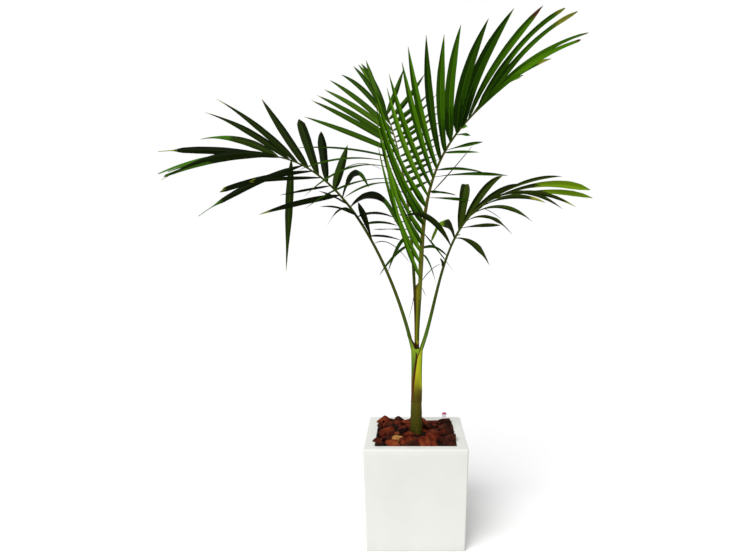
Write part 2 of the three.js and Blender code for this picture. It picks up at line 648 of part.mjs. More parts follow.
// Every leaflet of a frond: where it leaves the midrib, its axis, its width and its turn
function leafletsOf(frond) {
  const rib = midrib(frond);
  return frond.rows.flatMap((row) =>
    Array.from({ length: row.count }, (_, i) => {
      const u = i / (row.count - 1);
      const n = frond.seed + (row.hand > 0 ? 50 : 0) + i;
      const odd = row.odd?.[i] ?? {};
      const station = Math.min(1, THREE.MathUtils.lerp(row.first, 1, u) + STATION_SPREAD * jitter(n));
      const angle = radians(odd.angle ?? ramp(row.angle, u) + ANGLE_SPREAD * jitter(n + 0.3));
      const lift = radians(odd.lift ?? ramp(row.lift, u) + LIFT_SPREAD * jitter(n + 0.6));
      const length = odd.length ?? ramp(row.length, u) * (1 + LENGTH_SPREAD * jitter(n + 0.9));
      const arch = (odd.arch ?? ramp(row.arch, u) * (1 + ARCH_SPREAD * jitter(n + 0.2))) * length;
      const sweep = ramp(row.sweep ?? STRAIGHT, u) * length;
      const { point, along, side, upper } = rib.frameAt(station);
      const sideways = side.clone()
        .multiplyScalar(row.hand * Math.cos(lift))
        .addScaledVector(upper, Math.sin(lift));
      const tip = point.clone()
        .addScaledVector(along, length * Math.cos(angle))
        .addScaledVector(sideways, length * Math.sin(angle));
      const crown = point.clone().lerp(tip, 0.5)
        .add(new THREE.Vector3(0, 0, arch))
        .addScaledVector(sideways, sweep * Math.cos(angle))
        .addScaledVector(along, -sweep * Math.sin(angle));
      return {
        station, length, upper,
        axis: new THREE.QuadraticBezierCurve3(point, crown, tip),
        width: odd.width ?? ramp(row.width, u),
        turn: radians(odd.turn ?? ramp(row.turn, u)),
      };
    }));
}

// A leaflet as a thin blade with a diamond section, grown outwards by the given clearance
function leafletSolid(leaflet, clearance = 0) {
  const rings = LEAFLET_OUTLINE.map(([v, share]) => {
    const point = leaflet.axis.getPoint(v);
    const along = leaflet.axis.getTangent(v);
    const across = new THREE.Vector3().crossVectors(leaflet.upper, along).normalize();
    across.applyAxisAngle(along, leaflet.turn);
    const normal = new THREE.Vector3().crossVectors(along, across);
    const halfWidth = (share * leaflet.width) / 2 + clearance;
    const thinning = v < 0.9 ? 1 : 0.5;
    const halfThickness = (thinning * leaflet.length * LEAFLET_THICKNESS_SHARE) / 2 + clearance;
    return [
      point.clone().addScaledVector(across, halfWidth),
      point.clone().addScaledVector(normal, halfThickness),
      point.clone().addScaledVector(across, -halfWidth),
      point.clone().addScaledVector(normal, -halfThickness),
    ];
  });
  return toSolid(loft(rings));
}

function touches(a, b) {
  const [boxA, boxB] = [a.boundingBox(), b.boundingBox()];
  const apart = [0, 1, 2].some((i) => boxA.max[i] < boxB.min[i] || boxB.max[i] < boxA.min[i]);
  return !apart && !a.intersect(b).isEmpty();
}

// Planter and its filling
addPiece("pot_shell", potShell(), MATERIALS.pot);
addPiece("potting_soil", pottingSoil(), MATERIALS.soil);
const mulchGaps = [stemSolid(CLEARANCE), labelStrip(CLEARANCE)].map(toSolid);
addPiece("bark_mulch", toGeometry(barkMulch(mulchGaps)), MATERIALS.bark);
addPiece("plant_label", labelStrip(), MATERIALS.label);

// Stem, leaf bases and the stalk that carries the two tall fronds
addPiece("stem", stemSolid(), MATERIALS.stem);
for (const sheath of SHEATHS) addPiece(sheath.name, sheathSolid(sheath), MATERIALS.sheath);
addPiece("centre_stalk", centreStalk(), MATERIALS.petiole);

// Limbs first, so that no leaflet is set through one: a petiole, then one or two ribs a frond
const limbs = [];
for (const frond of FRONDS) {
  const rib = midrib(frond);
  const halfGap = CLEARANCE / 2 / rib.length;
  const cuts = [frond.blade, ...frond.bends, 1];
  const foot = fractionAtHeight(frond, frond.seat);
  limbs.push({
    name: `petiole_${frond.name}`, frond, solid: limbSolid(frond, foot, frond.blade - halfGap, frond.seat),
    material: MATERIALS.petiole, from: 0, to: 0,
  });
  for (let i = 0; i + 1 < cuts.length; i++) {
    const part = frond.bends.length === 0 ? "" : ["_inner", "_outer"][i];
    limbs.push({
      name: `frond_${frond.name}${part}`, frond,
      solid: limbSolid(frond, cuts[i] + halfGap, i + 2 === cuts.length ? 1 : cuts[i + 1] - halfGap),
      material: MATERIALS.leaf, from: cuts[i], to: i + 2 === cuts.length ? 1.01 : cuts[i + 1],
    });
  }
}

// Leaflets are fused to the rib they leave, and one that would touch another piece is left out
for (const frond of FRONDS) {
  for (const leaflet of leafletsOf(frond)) {
    const bears = (limb) => leaflet.station >= limb.from && leaflet.station < limb.to;
    const own = limbs.find((limb) => limb.frond === frond && bears(limb));
    const spaced = leafletSolid(leaflet, CLEARANCE);
    const blocked = limbs.some((limb) => limb !== own && touches(limb.solid, spaced));
    if (!blocked) own.solid = own.solid.add(leafletSolid(leaflet));
  }
}
for (const limb of limbs) addPiece(limb.name, toGeometry(limb.solid), limb.material);

export default palm;
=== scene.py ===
# %% [markdown]
# # A potted kentia palm
# A young kentia palm: four feather fronds on a slim green stem, in a square white planter
# filled up with bark chips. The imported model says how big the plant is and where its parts
# stand. This lesson puts finished surfaces there, from the planter up to the last leaflet,
# in metres. The whole plant is one body, so every piece rides on "root".

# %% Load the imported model
import math

import bmesh
import bpy
import numpy as np
from mathutils import Euler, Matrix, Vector, noise


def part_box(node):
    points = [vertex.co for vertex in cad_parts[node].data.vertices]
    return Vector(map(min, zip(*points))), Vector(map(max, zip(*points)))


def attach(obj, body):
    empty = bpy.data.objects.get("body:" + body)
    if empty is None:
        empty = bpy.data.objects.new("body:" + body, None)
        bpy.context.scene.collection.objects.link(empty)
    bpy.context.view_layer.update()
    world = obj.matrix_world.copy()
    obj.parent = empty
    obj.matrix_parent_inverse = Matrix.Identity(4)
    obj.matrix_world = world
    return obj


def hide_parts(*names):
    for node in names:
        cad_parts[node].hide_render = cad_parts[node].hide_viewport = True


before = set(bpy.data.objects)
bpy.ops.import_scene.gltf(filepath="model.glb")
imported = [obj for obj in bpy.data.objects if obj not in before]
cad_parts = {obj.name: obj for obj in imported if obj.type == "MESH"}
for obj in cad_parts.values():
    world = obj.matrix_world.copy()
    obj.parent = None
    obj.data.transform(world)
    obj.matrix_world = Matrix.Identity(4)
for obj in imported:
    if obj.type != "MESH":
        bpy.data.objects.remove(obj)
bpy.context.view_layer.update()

# %% [markdown]
# ## Camera
# The photo was taken from about two metres away, with the lens a little above the middle
# of the plant and looking slightly down. A camera could be placed by eye. This one was
# worked out from the planter, whose square top shows how far away and how high the lens
# was. The plant stands right of the picture's middle, so the lens is shifted, not turned,
# and upright edges stay upright.

# %% Stand the camera where the photographer stood
PICTURE_WIDTH = 750
FOCAL_PIXELS = 562
AXIS_PIXEL = 409
SENSOR_WIDTH = 36
LOOKING_DOWN = 3.75
LENS_PLACE = (-0.022, -1.875, 0.982)
eye = bpy.data.cameras.new("eye")
eye.sensor_width = SENSOR_WIDTH
eye.lens = SENSOR_WIDTH * FOCAL_PIXELS / PICTURE_WIDTH
eye.shift_x = (PICTURE_WIDTH / 2 - AXIS_PIXEL) / PICTURE_WIDTH
camera = bpy.data.objects.new("camera", eye)
camera.location = LENS_PLACE
camera.rotation_euler = (math.radians(90 - LOOKING_DOWN), 0, 0)
bpy.context.scene.collection.objects.link(camera)
bpy.context.scene.camera = camera
print("lens", round(eye.lens, 2), "mm, shift", round(eye.shift_x, 4))

# %% [markdown]
# ## Light and floor
# The plant was lit evenly in a white studio, from the front, a little from the left and
# from above. One small lamp would cast hard shadows, so the light is a sun as wide as a
# large softbox, and a white sky fills the rest. The sky and the floor that the camera sees
# are whiter than what lights the plant, which keeps dark leaves dark on a white ground.


# %% A helper for nodes
def add_node(tree, kind, **settings):
    """Adds a node, then sets its inputs and properties by name, with _ for a space."""
    made = tree.nodes.new(kind)
    for key, value in settings.items():
        socket = made.inputs.get(key.replace("_", " "))
        if socket is None:
            setattr(made, key, value)
        else:
            socket.default_value = value
    return made


# %% White sky
SKY_LIGHT = 0.5
SKY_SEEN = 1.0
world = bpy.data.worlds.new("studio")
world.use_nodes = True
sky = world.node_tree
sky.nodes.clear()
lighting = add_node(sky, "ShaderNodeBackground", Color=(1, 1, 1, 1), Strength=SKY_LIGHT)
seen = add_node(sky, "ShaderNodeBackground", Color=(1, 1, 1, 1), Strength=SKY_SEEN)
ray = add_node(sky, "ShaderNodeLightPath")
either = add_node(sky, "ShaderNodeMixShader")
sky_output = add_node(sky, "ShaderNodeOutputWorld")
sky.links.new(ray.outputs["Is Camera Ray"], either.inputs[0])
sky.links.new(lighting.outputs[0], either.inputs[1])
sky.links.new(seen.outputs[0], either.inputs[2])
sky.links.new(either.outputs[0], sky_output.inputs[0])
bpy.context.scene.world = world
bpy.context.scene.view_settings.view_transform = "Standard"
print("sky lights with", SKY_LIGHT, "and is seen as", SKY_SEEN)


# %% A softbox far away
SOFTBOX_SIDE = Vector((-0.34, -0.61, 0.72))
SOFTBOX_STRENGTH = 2.6
SOFTBOX_WIDTH = 45
softbox_light = bpy.data.lights.new("softbox", "SUN")
softbox_light.energy = SOFTBOX_STRENGTH
softbox_light.angle = math.radians(SOFTBOX_WIDTH)
softbox = bpy.data.objects.new("softbox", softbox_light)
softbox.rotation_euler = (-SOFTBOX_SIDE).to_track_quat("-Z", "Y").to_euler()
bpy.context.scene.collection.objects.link(softbox)
print("softbox strength", SOFTBOX_STRENGTH, "and", SOFTBOX_WIDTH, "degrees wide")


# %% Pale floor
def plain_finish(name, colour, roughness, shine):
    """A new material of one colour. Returns the material and its shader."""
    material = bpy.data.materials.new(name)
    material.use_nodes = True
    shader = material.node_tree.nodes["Principled BSDF"]
    shader.inputs["Base Color"].default_value = (*colour, 1)
    shader.inputs["Roughness"].default_value = roughness
    shader.inputs["Specular IOR Level"].default_value = shine
    return material, shader


FLOOR_REACH = 14
FLOOR_SEEN = (0.99, 0.99, 0.99)
FLOOR_BOUNCE = (0.65, 0.65, 0.65)
CORNERS = ((-1, -1), (1, -1), (1, 1), (-1, 1))
floor_mesh = bpy.data.meshes.new("floor")
floor_mesh.from_pydata([(FLOOR_REACH * x, FLOOR_REACH * y, 0) for x, y in CORNERS], [], [(0, 1, 2, 3)])
pale_floor, shader = plain_finish("pale_floor", FLOOR_SEEN, 0.9, 0.0)
tree = pale_floor.node_tree
ray = add_node(tree, "ShaderNodeLightPath")
white = add_node(tree, "ShaderNodeMixRGB", Color1=(*FLOOR_BOUNCE, 1), Color2=(*FLOOR_SEEN, 1))
tree.links.new(ray.outputs["Is Camera Ray"], white.inputs["Fac"])
tree.links.new(white.outputs["Color"], shader.inputs["Base Color"])
floor_mesh.materials.append(pale_floor)
floor = bpy.data.objects.new("floor", floor_mesh)
bpy.context.scene.collection.objects.link(floor)
print("floor", 2 * FLOOR_REACH, "m across")

# %% [markdown]
# ## From rings of points to pieces
# Nearly everything on a palm is a ring drawn along a line: the stem, the leaf stalks, even
# the planter. A curve with a bevel would make plain tubes. Rings of points made in code can
# also swell, flatten, wrap and carry relief, so all the round pieces here are skins over
# rings. Parts that share a finish are joined into one piece. A tone can be stored at each
# point, which a finish later turns into colour.


# %% Skins and pieces
def skin(rings):
    """Joins neighbouring rings of points by quads, with a flat face over each end."""
    rings = np.asarray(rings, float)
    count, sides = rings.shape[:2]
    ring, side = np.meshgrid(np.arange(count - 1), np.arange(sides), indexing="ij")
    here, there = ring * sides + side, ring * sides + (side + 1) % sides
    quads = np.stack([here, there, there + sides, here + sides], -1).reshape(-1, 4).tolist()
    ends = [list(range(sides))[::-1], list(range((count - 1) * sides, count * sides))]
    return rings.reshape(-1, 3), quads + ends


def joined(parts):
    """Several parts, each of points and faces, as one list of points and one of faces."""
    points, faces = [], []
    for part_points, part_faces in parts:
        start = sum(map(len, points))
        faces += [[start + i for i in face] for face in part_faces]
        points.append(part_points)
    return np.concatenate(points), faces


def add_piece(name, points, faces, finishes, slot, replaces=(), finish_of_face=None, tone=None, sharp=40):
    """Makes a piece that rides on the plant's body and stands for CAD nodes."""
    mesh = bpy.data.meshes.new(name)
    mesh.from_pydata(np.asarray(points).tolist(), [], faces)
    for finish in finishes:
        mesh.materials.append(finish)
    if finish_of_face is not None:
        mesh.polygons.foreach_set("material_index", np.asarray(finish_of_face, np.int32))
    mesh.polygons.foreach_set("use_smooth", np.ones(len(mesh.polygons), bool))
    if tone is not None:
        stored = mesh.attributes.new("tone", "FLOAT", "POINT")
        stored.data.foreach_set("value", np.asarray(tone, np.float32))
    shape = bmesh.new()
    shape.from_mesh(mesh)
    bmesh.ops.recalc_face_normals(shape, faces=shape.faces)
    shape.to_mesh(mesh)
    shape.free()
    mesh.set_sharp_from_angle(angle=math.radians(sharp))
    made = bpy.data.objects.new(name, mesh)
    bpy.context.scene.collection.objects.link(made)
    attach(made, "root")
    if replaces:
        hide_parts(*replaces)
    print(f"{name}: {len(mesh.polygons)} faces")


# %% [markdown]
# ## Patterns for the finishes
# No real surface has one colour. Each finish below starts from a plain material and gets
# its mottling, relief and change of gloss from noise that is laid in the model's own space,
# so it keeps its scale. Pictures could do the same, but noise has no seams and needs none.


# %% Helpers for patterns
def srgb(text):
    """The shader's colour for a written screen colour such as 29470b."""
    parts = [int(text[i : i + 2], 16) / 255 for i in (0, 2, 4)]
    return tuple(p / 12.92 if p <= 0.04045 else ((p + 0.055) / 1.055) ** 2.4 for p in parts)


def mottle(tree, scale, stretch=(1, 1, 1), detail=4):
    """Noise in the model's own space, drawn out along an axis where stretch is below 1."""
    place = add_node(tree, "ShaderNodeTexCoord")
    drawn = add_node(tree, "ShaderNodeMapping", Scale=stretch)
    grain = add_node(tree, "ShaderNodeTexNoise", Scale=scale, Detail=detail)
    tree.links.new(place.outputs["Object"], drawn.inputs["Vector"])
    tree.links.new(drawn.outputs["Vector"], grain.inputs["Vector"])
    return grain.outputs["Fac"]


def colour_by(tree, value, stops):
    """A ramp from value to colour. stops are (position, written colour)."""
    ramp_node = add_node(tree, "ShaderNodeValToRGB")
    ramp_node.color_ramp.elements[0].position = stops[0][0]
    ramp_node.color_ramp.elements[0].color = (*srgb(stops[0][1]), 1)
    ramp_node.color_ramp.elements[1].position = stops[-1][0]
    ramp_node.color_ramp.elements[1].color = (*srgb(stops[-1][1]), 1)
    for position, text in stops[1:-1]:
        ramp_node.color_ramp.elements.new(position).color = (*srgb(text), 1)
    tree.links.new(value, ramp_node.inputs["Fac"])
    return ramp_node.outputs["Color"]


def range_by(tree, value, low, high):
    """A number between low and high that follows value."""
    fitted = add_node(tree, "ShaderNodeMapRange", To_Min=low, To_Max=high)
    tree.links.new(value, fitted.inputs["Value"])
    return fitted.outputs["Result"]


def add_relief(tree, shader, value, depth, strength=1.0):
    """Bumps of the given depth in metres."""
    bump = add_node(tree, "ShaderNodeBump", Distance=depth, Strength=strength)
    tree.links.new(value, bump.inputs["Height"])
    tree.links.new(bump.outputs["Normal"], shader.inputs["Normal"])


# %% [markdown]
# ## Planter
# The planter is a square lacquered cube, drawn in a little towards its foot, with a broad
# rim that turns inwards and down into a lip. A cube with a bevel modifier would look right
# outside but has no lip. Here one outline, a square with rounded corners, is drawn through
# every level from the foot up, over the rim and back down inside, with small quarter rounds
# where the faces meet.

# %% Measure the planter
pot_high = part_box("pot_shell")[1]
POT_HEIGHT = pot_high.z
TOP_HALF = pot_high.x
FOOT_HALF = 0.1565
RIM_WIDTH = 0.034
LIP_DEPTH = 0.030
POT_WALL = 0.006
POT_FLOOR = 0.008
OPENING_HALF = TOP_HALF - RIM_WIDTH
CORNER_STEPS = 8
print("planter", round(2 * TOP_HALF, 3), "m wide and", round(POT_HEIGHT, 3), "m high")


# %% Draw the planter's outline through its levels
def square_ring(half, corner, z):
    """A level square with rounded corners."""
    points = []
    for quarter in range(4):
        middle = math.radians(45 + 90 * quarter)
        reach = (half - corner) * math.sqrt(2)
        for step in range(CORNER_STEPS + 1):
            turn = (quarter + step / CORNER_STEPS) * math.pi / 2
            x = reach * math.cos(middle) + corner * math.cos(turn)
            y = reach * math.sin(middle) + corner * math.sin(turn)
            points.append((x, y, z))
    return points


def pot_half(z):
    """Half of the planter's width at height z."""
    return FOOT_HALF + (TOP_HALF - FOOT_HALF) * z / POT_HEIGHT


EDGE_ROUND = 0.003
LIP_ROUND = 0.0022
POT_CORNER = 0.006
ROUND_STEPS = 5
SIDE_LEVELS = 6
SIDE_FROM = 0.03
SIDE_TO = POT_HEIGHT - 0.02
top = POT_HEIGHT - EDGE_ROUND
underside = POT_HEIGHT - LIP_DEPTH
quarter = [(math.cos(a), math.sin(a)) for a in np.linspace(0, math.pi / 2, ROUND_STEPS)]
levels = [(pot_half(0) - EDGE_ROUND * (1 - sine), EDGE_ROUND * (1 - cosine)) for cosine, sine in quarter]
levels += [(pot_half(z), z) for z in np.linspace(SIDE_FROM, SIDE_TO, SIDE_LEVELS)]
levels += [(pot_half(top) - EDGE_ROUND * (1 - cosine), top + EDGE_ROUND * sine) for cosine, sine in quarter]
for cosine, sine in quarter:
    levels.append((OPENING_HALF + LIP_ROUND * (1 - sine), POT_HEIGHT - LIP_ROUND * (1 - cosine)))
levels += [(OPENING_HALF, underside), (pot_half(underside) - POT_WALL, underside - POT_WALL)]
levels += [(pot_half(POT_FLOOR) - POT_WALL, POT_FLOOR)]
pot_rings = [square_ring(half, POT_CORNER, z) for half, z in levels]
print("planter levels:", len(levels))

# %% [markdown]
# The lacquer is off-white and half glossy. Its colour is nearly even, so only a faint warm
# and cool mottling is laid in it, with the slight orange-peel relief of sprayed paint and
# some duller patches where it has been handled.

# %% Planter finish
lacquer, shader = plain_finish("white_lacquer", srgb("e3e4df"), 0.3, 0.2)
tree = lacquer.node_tree
clouds = mottle(tree, 5, detail=3)
cloud_colour = colour_by(tree, clouds, [(0.3, "dfe0d9"), (0.55, "e4e5df"), (0.75, "e6e6e1")])
tree.links.new(cloud_colour, shader.inputs["Base Color"])
tree.links.new(range_by(tree, mottle(tree, 14), 0.24, 0.42), shader.inputs["Roughness"])
add_relief(tree, shader, mottle(tree, 260, detail=2), 0.0002, 0.35)
add_piece("white_planter", *skin(pot_rings), [lacquer], "planter", ["pot_shell"])

# %% [markdown]
# ## Soil
# The soil fills the planter under the bark and hardly shows. The CAD solid is the right
# shape already, so it stays and only gets its finish: dark, rough and crumbly.

# %% Soil finish
humus, shader = plain_finish("dark_soil", srgb("2a1d15"), 0.95, 0.2)
tree = humus.node_tree
crumbs = mottle(tree, 120, detail=6)
crumb_colour = colour_by(tree, crumbs, [(0.3, "140d09"), (0.6, "33231a"), (0.8, "4a3527")])
tree.links.new(crumb_colour, shader.inputs["Base Color"])
add_relief(tree, shader, crumbs, 0.003)
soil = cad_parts["potting_soil"]
soil.data.materials.clear()
soil.data.materials.append(humus)

# %% [markdown]
# ## Bark chips
# The soil is covered with broken pine bark: thick slabs 35 to 60 mm long, red-brown,
# rust and nearly black, heaped a little higher at the back right. They could be scattered
# with a physics simulation, but then they would not lie where the solid mound is. So the
# large chips lie about where the CAD has its own, in rows that jitter has disordered, and
# small ones fill the gaps between.


# %% The same jitter as in the CAD
def jitter(n):
    """The same number between -1 and 1 each time it is asked for with the same n."""
    wave = math.sin(n * 12.9898) * 43758.5453
    return 2 * (wave - math.floor(wave)) - 1


def mix(low, high, share):
    return low + (high - low) * share


print("jitter of 1, 2 and 3:", [round(jitter(n), 3) for n in (1, 2, 3)])


# %% The mound's height
SOIL_TOP = 0.312
BED_EDGE_TOP = 0.321
BED_CROWN_TOP = 0.326
BACK_RISE = 0.005
RIGHT_RISE = 0.006
STEM_DIP = 0.010
DIP_FRONT = -0.04
DIP_REACH = 0.045
BARK_GAP = 0.0003
BARK_HALF = OPENING_HALF - BARK_GAP


def mound(x, y):
    """The height of the bark, which falls to its edge and dips in front of the stem."""
    edge = max(abs(x), abs(y)) / BARK_HALF
    rise = (BACK_RISE * max(0, y) + RIGHT_RISE * x * (y > 0)) / BARK_HALF
    dip = STEM_DIP * math.exp(-(x**2 + (y - DIP_FRONT) ** 2) / DIP_REACH**2)
    return mix(BED_CROWN_TOP, BED_EDGE_TOP, edge) + rise - dip


print("bark's height in the middle:", round(mound(0, 0), 4))


# %% Stem radius, which the chips keep clear of
STEM_FOOT = np.array([0.002, 0, 0.3123])
STEM_FORK = np.array([0.004, 0, 0.620])
STEM_RADIUS = [
    (0.312, 0.0235), (0.326, 0.0215), (0.350, 0.0203), (0.400, 0.0192), (0.450, 0.0178),
    (0.530, 0.0162), (0.570, 0.0166), (0.620, 0.018),
]


def ramp(pairs, u):
    """The value at u on a list of (position, value) pairs, straight between them."""
    return np.interp(u, *zip(*pairs))


def stem_centre(z):
    return mix(STEM_FOOT, STEM_FORK, (z - STEM_FOOT[2]) / (STEM_FORK[2] - STEM_FOOT[2]))


print("stem's narrowest radius:", min(radius for z, radius in STEM_RADIUS))


# %% [markdown]
# A chip starts as a ball. Pushing its points out to a box with soft sides makes a slab,
# slicing it with several planes gives broken faces, and noise that changes quickly through
# the thickness draws the layers that bark splits along. A plain box with noise would keep
# six sides that show at once that it was never broken off.


# %% One bark chip
def ball(fineness):
    shape = bmesh.new()
    bmesh.ops.create_icosphere(shape, subdivisions=fineness, radius=1)
    points = np.array([v.co for v in shape.verts])
    faces = [[v.index for v in f.verts] for f in shape.faces]
    shape.free()
    return points, faces


LARGE_FINENESS = 4
SMALL_FINENESS = 3
BALLS = {fineness: ball(fineness) for fineness in (LARGE_FINENESS, SMALL_FINENESS)}
BOX_POWER = 9
SLICES = 8
SLICE_UPRIGHT = 1.1
SLICE_DEPTH = 0.6
SLICE_SPREAD = 0.16
LAYER_DEPTH = 0.0004
LAYER_GRAIN = 420
ALONG_GRAIN = 40
LUMP_DEPTH = 0.0002
LUMP_GRAIN = 90


def bark_chip(centre, size, tilt, n, fineness):
    """Points and faces of one chip with the given full sizes."""
    points, faces = BALLS[fineness]
    half = np.array(size) / 2
    body = points / (np.abs(points) ** BOX_POWER).sum(1, keepdims=True) ** (1 / BOX_POWER)
    for k in range(SLICES):
        way = np.array([jitter(n + k + 0.15), jitter(n + k + 0.35), SLICE_UPRIGHT * jitter(n + k + 0.55)])
        way /= np.linalg.norm(way)
        depth = (body @ way).max() * (SLICE_DEPTH + SLICE_SPREAD * jitter(n + k + 0.75))
        body -= np.outer(np.maximum(body @ way - depth, 0), way)
    body *= half
    grain = [(p[0] * ALONG_GRAIN, p[1] * ALONG_GRAIN, p[2] * LAYER_GRAIN + n) for p in body]
    layers = np.array([noise.noise(Vector(p)) for p in grain])
    lumps = np.array([noise.noise(Vector(p * LUMP_GRAIN) + Vector((n, 0, 0))) for p in body])
    outward = body / (np.linalg.norm(body, axis=1, keepdims=True) + 1e-9)
    body += outward * (LAYER_DEPTH * layers + LUMP_DEPTH * lumps)[:, None]
    turned = body @ np.array(Euler(tilt, "ZYX").to_matrix()).T
    return turned + centre, faces


CLEAR_OF_LIP = 0.0005
CLEAR_OF_STEM = 0.0008
CLEAR_OF_SOIL = 0.001


def keep_clear(points):
    """Moves points out of the lip and out of the stem's foot."""
    low = points[:, 2] < POT_HEIGHT + CLEAR_OF_LIP
    points[low, :2] = points[low, :2].clip(-BARK_HALF, BARK_HALF)
    points[:, 0] = points[:, 0].clip(None, BARK_HALF)
    points[:, 1] = points[:, 1].clip(-BARK_HALF, None)
    out = points[:, :2] - STEM_FOOT[:2]
    reach = np.linalg.norm(out, axis=1)
    needed = ramp(STEM_RADIUS, points[:, 2]) + CLEAR_OF_STEM
    inside = reach < needed
    points[inside, :2] = STEM_FOOT[:2] + out[inside] * (needed / reach)[inside, None]
    points[:, 2] = points[:, 2].clip(SOIL_TOP + CLEAR_OF_SOIL, None)
    return points


print("points in a large chip:", len(BALLS[LARGE_FINENESS][0]))


# %% Large chips in disordered rows
CHIP_SIZE = (0.066, 0.045, 0.031)
CHIP_SPACING = 0.042
CHIP_SCATTER = 0.24
HEIGHT_SPREAD = 0.004
LARGE_SPREAD = 0.3
LARGE_TILT = 0.45
LARGE_SEED = 700
PER_SIDE = int(2 * BARK_HALF / CHIP_SPACING)


def chip_size(n, scale, spread):
    return [s * (scale + spread * jitter(n + k)) for s, k in zip(CHIP_SIZE, (0.1, 0.2, 0.3))]


def chip_tilt(n, most):
    return most * jitter(n + 0.4), most * jitter(n + 0.5), math.pi * jitter(n + 0.6)


chips = []
for row in range(PER_SIDE):
    for column in range(PER_SIDE):
        n = LARGE_SEED + row * PER_SIDE + column
        x, y = [
            (index + 0.5 - PER_SIDE / 2 + CHIP_SCATTER * jitter(n + shift)) * CHIP_SPACING
            for index, shift in ((column, 0.7), (row, 0.8))
        ]
        centre = (x, y, mound(x, y) + HEIGHT_SPREAD * jitter(n + 0.9))
        chips.append((centre, chip_size(n, 1, LARGE_SPREAD), chip_tilt(n, LARGE_TILT), n, LARGE_FINENESS))
print(len(chips), "large chips")

# %% Small chips in the gaps
SMALL_CHIPS = 70
SMALL_REACH = 0.93
SMALL_LIFT = 0.007
SMALL_SCALE = 0.5
SMALL_SPREAD = 0.18
SMALL_TILT = 0.9
SMALL_SEED = 900
for n in range(SMALL_SEED, SMALL_SEED + SMALL_CHIPS):
    x, y = [BARK_HALF * SMALL_REACH * jitter(n + shift) for shift in (0.15, 0.45)]
    centre = (x, y, mound(x, y) + SMALL_LIFT)
    size = chip_size(n, SMALL_SCALE, SMALL_SPREAD)
    chips.append((centre, size, chip_tilt(n, SMALL_TILT), n, SMALL_FINENESS))
print(len(chips), "bark chips in all")

# %% [markdown]
# Each chip is given one of four bark colours, and one pale chip of bare wood is laid on top
# in front of the stem. One material could change its colour from chip to chip, but plain
# ones keep their colours in any other program too. Within a chip the finish runs from near
# black in the cracks to its own colour on the raised parts, and it is rough and scarcely
# shines.

# %% Bark finishes
BARK_SHADES = {
    "bark_black": ("120906", "20100b", "2e1810"),
    "bark_brown": ("1e0d08", "38180e", "4c2416"),
    "bark_red": ("2e0e0a", "501c10", "602816"),
    "bark_rust": ("3a120a", "6c2a15", "80421f"),
    "bark_pale": ("5a3a1c", "a8783c", "c79b62"),
}
bark_finishes = []
for name, shades in BARK_SHADES.items():
    material, shader = plain_finish(name, srgb(shades[1]), 0.85, 0.06)
    tree = material.node_tree
    grain = mottle(tree, 45, detail=7)
    shade = colour_by(tree, grain, [(0.3, shades[0]), (0.5, shades[1]), (0.72, shades[2])])
    tree.links.new(shade, shader.inputs["Base Color"])
    tree.links.new(range_by(tree, grain, 0.98, 0.7), shader.inputs["Roughness"])
    add_relief(tree, shader, mottle(tree, 260, detail=5), 0.0006, 0.6)
    bark_finishes.append(material)
print(len(bark_finishes), "bark finishes")

# %% Join the chips by colour
PALE_CHIP = (-0.059, -0.067)
PALE_LIFT = 0.012
PALE_SIZE = (0.046, 0.026, 0.015)
PALE_TILT = (0.1, 0.15, 0.1)
SHADE_LIMITS = (-0.5, 0.05, 0.55)
pale = min(range(PER_SIDE**2), key=lambda i: math.dist(chips[i][0][:2], PALE_CHIP))
chips[pale] = ((*PALE_CHIP, mound(*PALE_CHIP) + PALE_LIFT), PALE_SIZE, PALE_TILT, *chips[pale][3:])
heaps = {name: [] for name in BARK_SHADES}
for index, (centre, size, tilt, n, fineness) in enumerate(chips):
    shade = int(np.searchsorted(SHADE_LIMITS, jitter(n + 0.05)))
    name = "bark_pale" if index == pale else list(BARK_SHADES)[shade]
    points, faces = bark_chip(np.array(centre), size, tilt, n, fineness)
    heaps[name].append((keep_clear(points), faces))
for (name, heap), finish in zip(heaps.items(), bark_finishes):
    add_piece(name.replace("bark", "chips"), *joined(heap), [finish], "bark", sharp=22)

# %% [markdown]
# Under the chips lies a bed of fine bark, so that no gap shows the soil. A flat plane would
# look like card between the chips. So it is a skin over square rings that shrink towards
# the middle, follow the mound and are roughened by noise.

# %% Bark bed
BED_RINGS = 16
BED_SINK = 0.004
BED_CORNER = 0.005
BED_FOOT = SOIL_TOP + 0.0003
BED_CENTRE = 0.03
BED_LUMPS = 0.003
BED_SEED = 5
bed_rings = [square_ring(BARK_HALF, BED_CORNER, BED_FOOT)]
for share in np.linspace(1, BED_CENTRE, BED_RINGS):
    ring = np.array(square_ring(BARK_HALF * share, BED_CORNER * share, 0))
    for p in ring:
        lump = noise.noise(Vector((p[0] * LUMP_GRAIN, p[1] * LUMP_GRAIN, BED_SEED)))
        p[2] = mound(p[0], p[1]) - BED_SINK + BED_LUMPS * lump
    bed_rings.append(ring)
add_piece("bark_bed", *skin(bed_rings), [bark_finishes[0]], "bark", ["bark_mulch"])

# %% [markdown]
# ## Plant label
# A plain white plastic strip with a coloured end stands in the bark behind the stem. A
# scaled cube would do for so small a thing, but it would have no point to push into the
# bark. So it is a skin over thin rings that narrow at the foot and at the top, with a
# slight backward bend.

